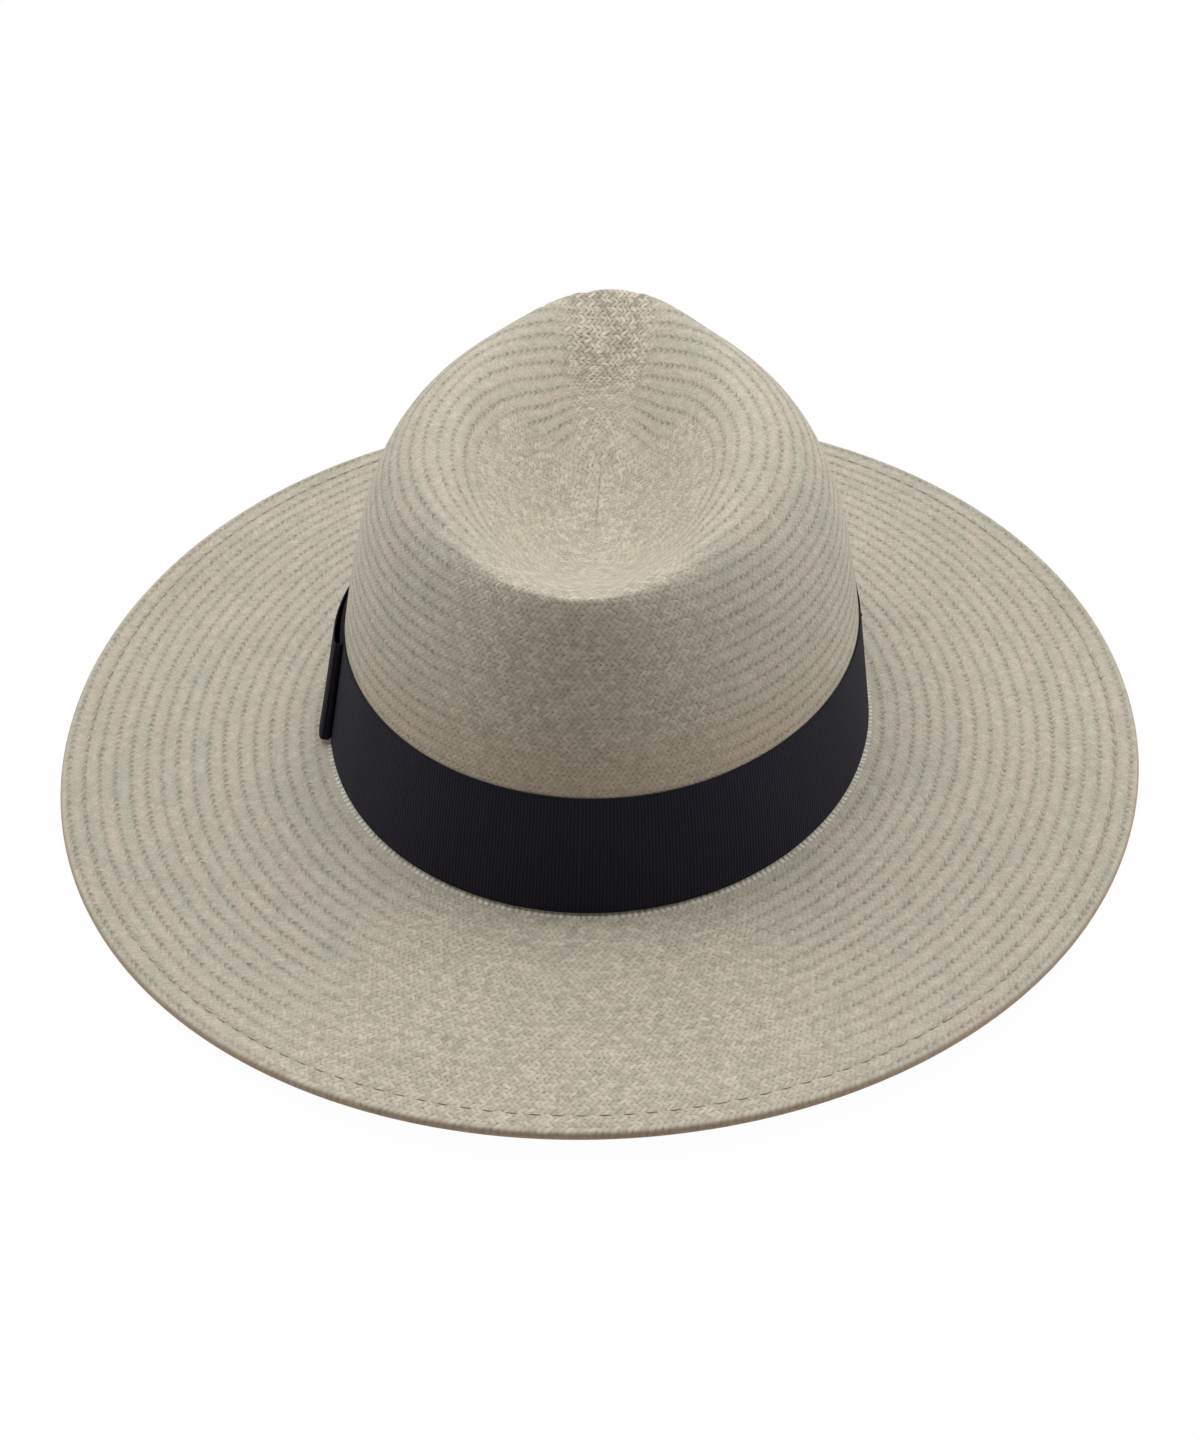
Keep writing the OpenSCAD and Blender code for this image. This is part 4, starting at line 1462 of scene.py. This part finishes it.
@dataclass
class Sweatband(SubAssembly):
    """The leather band inside the crown, its rod, stitches, and the tape and cord at the back."""

    low_z: float = 13.6
    band_h: float = 34.0
    band_t: float = 1.1
    band_out: float = -1.3
    rod_r: float = 0.7
    seam_count: int = 96
    seam_rise: float = 2.2
    stitch_size: tuple[float, float, float] = (3.4, 0.45, 0.4)
    tape_w: float = 12.0
    tape_t: float = 0.5
    cord_r: float = 0.5
    loop_r: float = 3.2
    skin: float = 0.05

    @property
    def band_in(self) -> float:
        """Distance of the band's inner side from the straw, inwards."""
        return self.band_out - self.band_t

    def build_band(self) -> None:
        """Models the leather band."""
        turn = turns(360)[None, :]
        share = np.linspace(0, 1, 13)[:, None]
        wave = 0.12 * np.sin(6 * turn + 1.3) * share
        height = lerp(self.low_z, self.low_z + self.band_h, share) + 0 * turn
        points = self.form.beside_wall(turn, height, self.band_out - self.band_t / 2 - np.abs(wave))
        points[:, -1] = points[:, 0]
        piece = Bench.lattice("leather_band", points, millimetre_chart(points))
        Bench.thicken(piece, self.band_t, 0.3)
        self.keep(piece, LEATHER, "sweatband")

    def build_rod(self) -> None:
        """Models the rod along the band's lower edge."""

        def middle(turn: Array) -> Array:
            """The rod's middle line."""
            line = self.form.beside_wall(turn, self.low_z, self.band_out - self.band_t / 2)
            line[..., 2] -= self.rod_r + self.skin
            return line

        self.keep(tube_round("sweatband_rod", middle, self.form, self.rod_r, 360), ROD, "sweatband_reed")

    def build_stitches(self) -> None:
        """Models the seam along the band's lower edge."""
        height = self.low_z + self.seam_rise + np.array([0, 0, 1.0])
        spots = []
        for number in range(self.seam_count):
            turn = 2 * pi * (number + 0.5) / self.seam_count + np.array([0, 0.01, 0])
            spots.append(self.form.beside_wall(turn, height, self.band_in))
        seam = Bench.stitch_row("sweatband_seam", self.stitch_size, spots)
        self.keep(seam, HEM_THREAD, "sweatband_stitches")

    def build_tape(self) -> None:
        """Models the tape over the band's join."""
        half = self.tape_w / 2 / self.form.foot_half_width
        turn = np.linspace(-half, half, 17)[None, :]
        height = np.linspace(self.low_z + 3.4, self.low_z + self.band_h - 0.6, 21)[:, None]
        points = self.form.beside_wall(turn, height, self.band_in - self.skin - self.tape_t / 2)
        piece = Bench.lattice("join_tape", points, millimetre_chart(points))
        Bench.thicken(piece, self.tape_t, 0.15)
        self.keep(piece, TAPE, "sweatband_tape")

    def build_cord(self) -> None:
        """Models the small bow of cord on the tape."""
        f = self.form
        height = self.low_z + 0.62 * self.band_h
        off = self.band_in - self.tape_t - self.skin
        here, above = f.beside_wall(np.zeros(2), height + np.array([0.0, 1.0]), off)
        normal = np.cross([1.0, 0.0, 0.0], above - here)
        curve_r = f.foot_half_width**2 / f.foot_half_length
        lift = (2 * (self.loop_r + self.cord_r)) ** 2 / (2 * curve_r) + 2 * self.skin
        place = seat(here + unit(normal) * (self.cord_r + lift), np.array([1.0, 0, 0]), normal)
        parts = []
        for side in (-1, 1):
            angles = np.linspace(pi * 0.08, pi * 1.92, 26)
            loop = [
                (side * self.loop_r * (1 - cos(a)) * 1.05, self.loop_r * sin(a) * 0.82 + 0.8, 0.12 * sin(a))
                for a in angles
            ]
            tail = [
                (side * q * 1.5 * self.loop_r, -q * 2.9 * self.loop_r + 0.3 * sin(pi * q), 0.15 * q)
                for q in np.linspace(0, 1, 12)
            ]
            parts += [self.cord_run(loop, place), self.cord_run(tail, place)]
        Bench.clear_selection()
        bpy.ops.mesh.primitive_uv_sphere_add(segments=20, ring_count=12, radius=0.5)
        knot = bpy.context.object
        bpy.ops.object.mode_set(mode="EDIT")
        bpy.ops.mesh.select_all(action="SELECT")
        size = self.cord_r * MM
        bpy.ops.transform.resize(value=(3.6 * size, 3.4 * size, 2.6 * size))
        bpy.ops.object.mode_set(mode="OBJECT")
        knot.data.transform(place @ Matrix.Translation((0, 0.3 * MM, 0.2 * MM)))
        Bench.select(*parts, knot)
        bpy.ops.object.join()
        knot.name = knot.data.name = "cord_bow"
        Bench.smooth(knot)
        self.keep(knot, BLACK_THREAD, "sweatband_bow")

    def cord_run(self, points: Sequence[tuple[float, float, float]], place: Matrix) -> bpy.types.Object:
        """A length of cord along points.

        Args:
            points: The points, in millimetres on the tape.
            place: Where the tape's plane is.

        Returns:
            The cord as a mesh.
        """
        Bench.clear_selection()
        bpy.ops.curve.primitive_bezier_curve_add()
        run = bpy.context.object
        run.data.splines.clear()
        spline = run.data.splines.new("POLY")
        spline.points.add(len(points) - 1)
        for target, point in zip(spline.points, points):
            target.co = (*(place @ (Vector(point) * MM)), 1)
        run.data.bevel_depth = self.cord_r * MM
        run.data.bevel_resolution = 3
        run.data.use_fill_caps = True
        Bench.select(run)
        bpy.ops.object.convert(target="MESH")
        return bpy.context.object

    def build(self) -> None:
        """Models the sweatband and what is on it."""
        self.build_band()
        self.build_rod()
        self.build_stitches()
        self.build_tape()
        self.build_cord()


# ---------------------------------------------------------------- studio


@dataclass
class Studio:
    """Floor, lights, background and camera; a lamp has a name, a place, a size and a power."""

    lift: float = 0.6330
    swing: float = -0.0710
    roll: float = 0.0159
    distance: float = 1.1646
    focal_px: float = 3598.6
    centre_px: tuple[float, float] = (600.3, 737.5)
    frame_px: tuple[int, int] = (1200, 1440)
    dim: float = 0.12
    aim_z: float = 0.05
    lamps: tuple[tuple[str, tuple[float, float, float], float, float], ...] = (
        ("overhead", (0.05, -0.33, 1.05), 1.3, 11.4),
        ("left", (1.35, -0.35, 0.80), 1.0, 7.4),
        ("right", (-1.35, -0.35, 0.80), 1.0, 9.2),
    )

    def build_floor(self) -> None:
        """Lays a pale floor that keeps the hat's shadow."""
        Bench.clear_selection()
        bpy.ops.mesh.primitive_plane_add(size=12.0, location=(0, 0, -0.0002))
        floor = bpy.context.object
        floor.name = "floor"
        bpy.ops.object.transform_apply(location=True, rotation=True, scale=True)
        g = Graph(bpy.data.materials.new("pale floor"))
        matt = g.node("ShaderNodeBsdfDiffuse", {}, {"Color": (0.88, 0.88, 0.87, 1.0)})
        white = g.node("ShaderNodeEmission", {}, {"Color": WHITE, "Strength": 1.0})
        path = g.node("ShaderNodeLightPath", {}, {})
        seen = Wire(g, path.outputs["Is Camera Ray"]).at_least(Wire(g, path.outputs["Is Glossy Ray"]))
        seen = seen.at_least(Wire(g, path.outputs["Is Transmission Ray"]))
        mixed = g.node(
            "ShaderNodeMixShader", {}, {0: seen * 0.975, 1: matt.outputs[0], 2: white.outputs[0]}
        )
        g.node("ShaderNodeOutputMaterial", {}, {"Surface": mixed.outputs[0]})
        floor.data.materials.append(g.owner)

    def build_world(self) -> None:
        """Sets an even pale surrounding that the camera sees as white."""
        world = bpy.data.worlds.new("studio")
        bpy.context.scene.world = world
        g = Graph(world)
        path = g.node("ShaderNodeLightPath", {}, {})
        dim = g.node("ShaderNodeBackground", {}, {"Color": WHITE, "Strength": self.dim})
        white = g.node("ShaderNodeBackground", {}, {"Color": WHITE, "Strength": 1.0})
        ends = {0: path.outputs["Is Camera Ray"], 1: dim.outputs[0], 2: white.outputs[0]}
        mixed = g.node("ShaderNodeMixShader", {}, ends)
        g.node("ShaderNodeOutputWorld", {}, {"Surface": mixed.outputs[0]})

    def build_lights(self) -> None:
        """Hangs large soft lamps over the far side and at both sides, aimed at the hat."""
        for name, spot, size, power in self.lamps:
            place = Vector(spot)
            Bench.clear_selection()
            aim = (Vector((0, 0, self.aim_z)) - place).to_track_quat("-Z", "Y").to_euler()
            bpy.ops.object.light_add(type="AREA", location=place, rotation=aim)
            lamp = bpy.context.object
            lamp.name = name
            lamp.data.shape = "SQUARE"
            lamp.data.size = size
            lamp.data.energy = power

    def build_camera(self) -> None:
        """Places the camera where the photograph was taken from, behind and above the hat."""
        back = Vector((sin(self.swing) * cos(self.lift), cos(self.swing) * cos(self.lift), sin(self.lift)))
        right = Vector((-cos(self.swing), sin(self.swing), 0))
        up = back.cross(right).normalized()
        c, s = cos(self.roll), sin(self.roll)
        right, up = c * right - s * up, s * right + c * up
        Bench.clear_selection()
        bpy.ops.object.camera_add()
        camera = bpy.context.object
        turned = Matrix((right, up, back)).transposed().to_4x4()
        camera.matrix_world = Matrix.Translation(back * self.distance) @ turned
        lens = camera.data
        lens.sensor_fit = "VERTICAL"
        lens.sensor_height = 36.0
        lens.lens = self.focal_px / self.frame_px[1] * lens.sensor_height
        lens.shift_x = (self.frame_px[0] / 2 - self.centre_px[0]) / self.frame_px[1]
        lens.shift_y = (self.centre_px[1] - self.frame_px[1] / 2) / self.frame_px[1]
        bpy.context.scene.camera = camera

    def build(self) -> None:
        """Sets up the studio."""
        self.build_floor()
        self.build_world()
        self.build_lights()
        self.build_camera()
        bpy.context.scene.view_settings.view_transform = "Standard"


def main() -> None:
    """Builds the hat piece by piece, then the studio."""
    logging.basicConfig(level=logging.INFO, format="%(name)s: %(message)s")
    form = HatForm()
    for kind in (StrawBody, Hem, RibbonAndBow, Sweatband):
        kind(form).build()
    Studio().build()


if __name__ == "__main__":
    main()
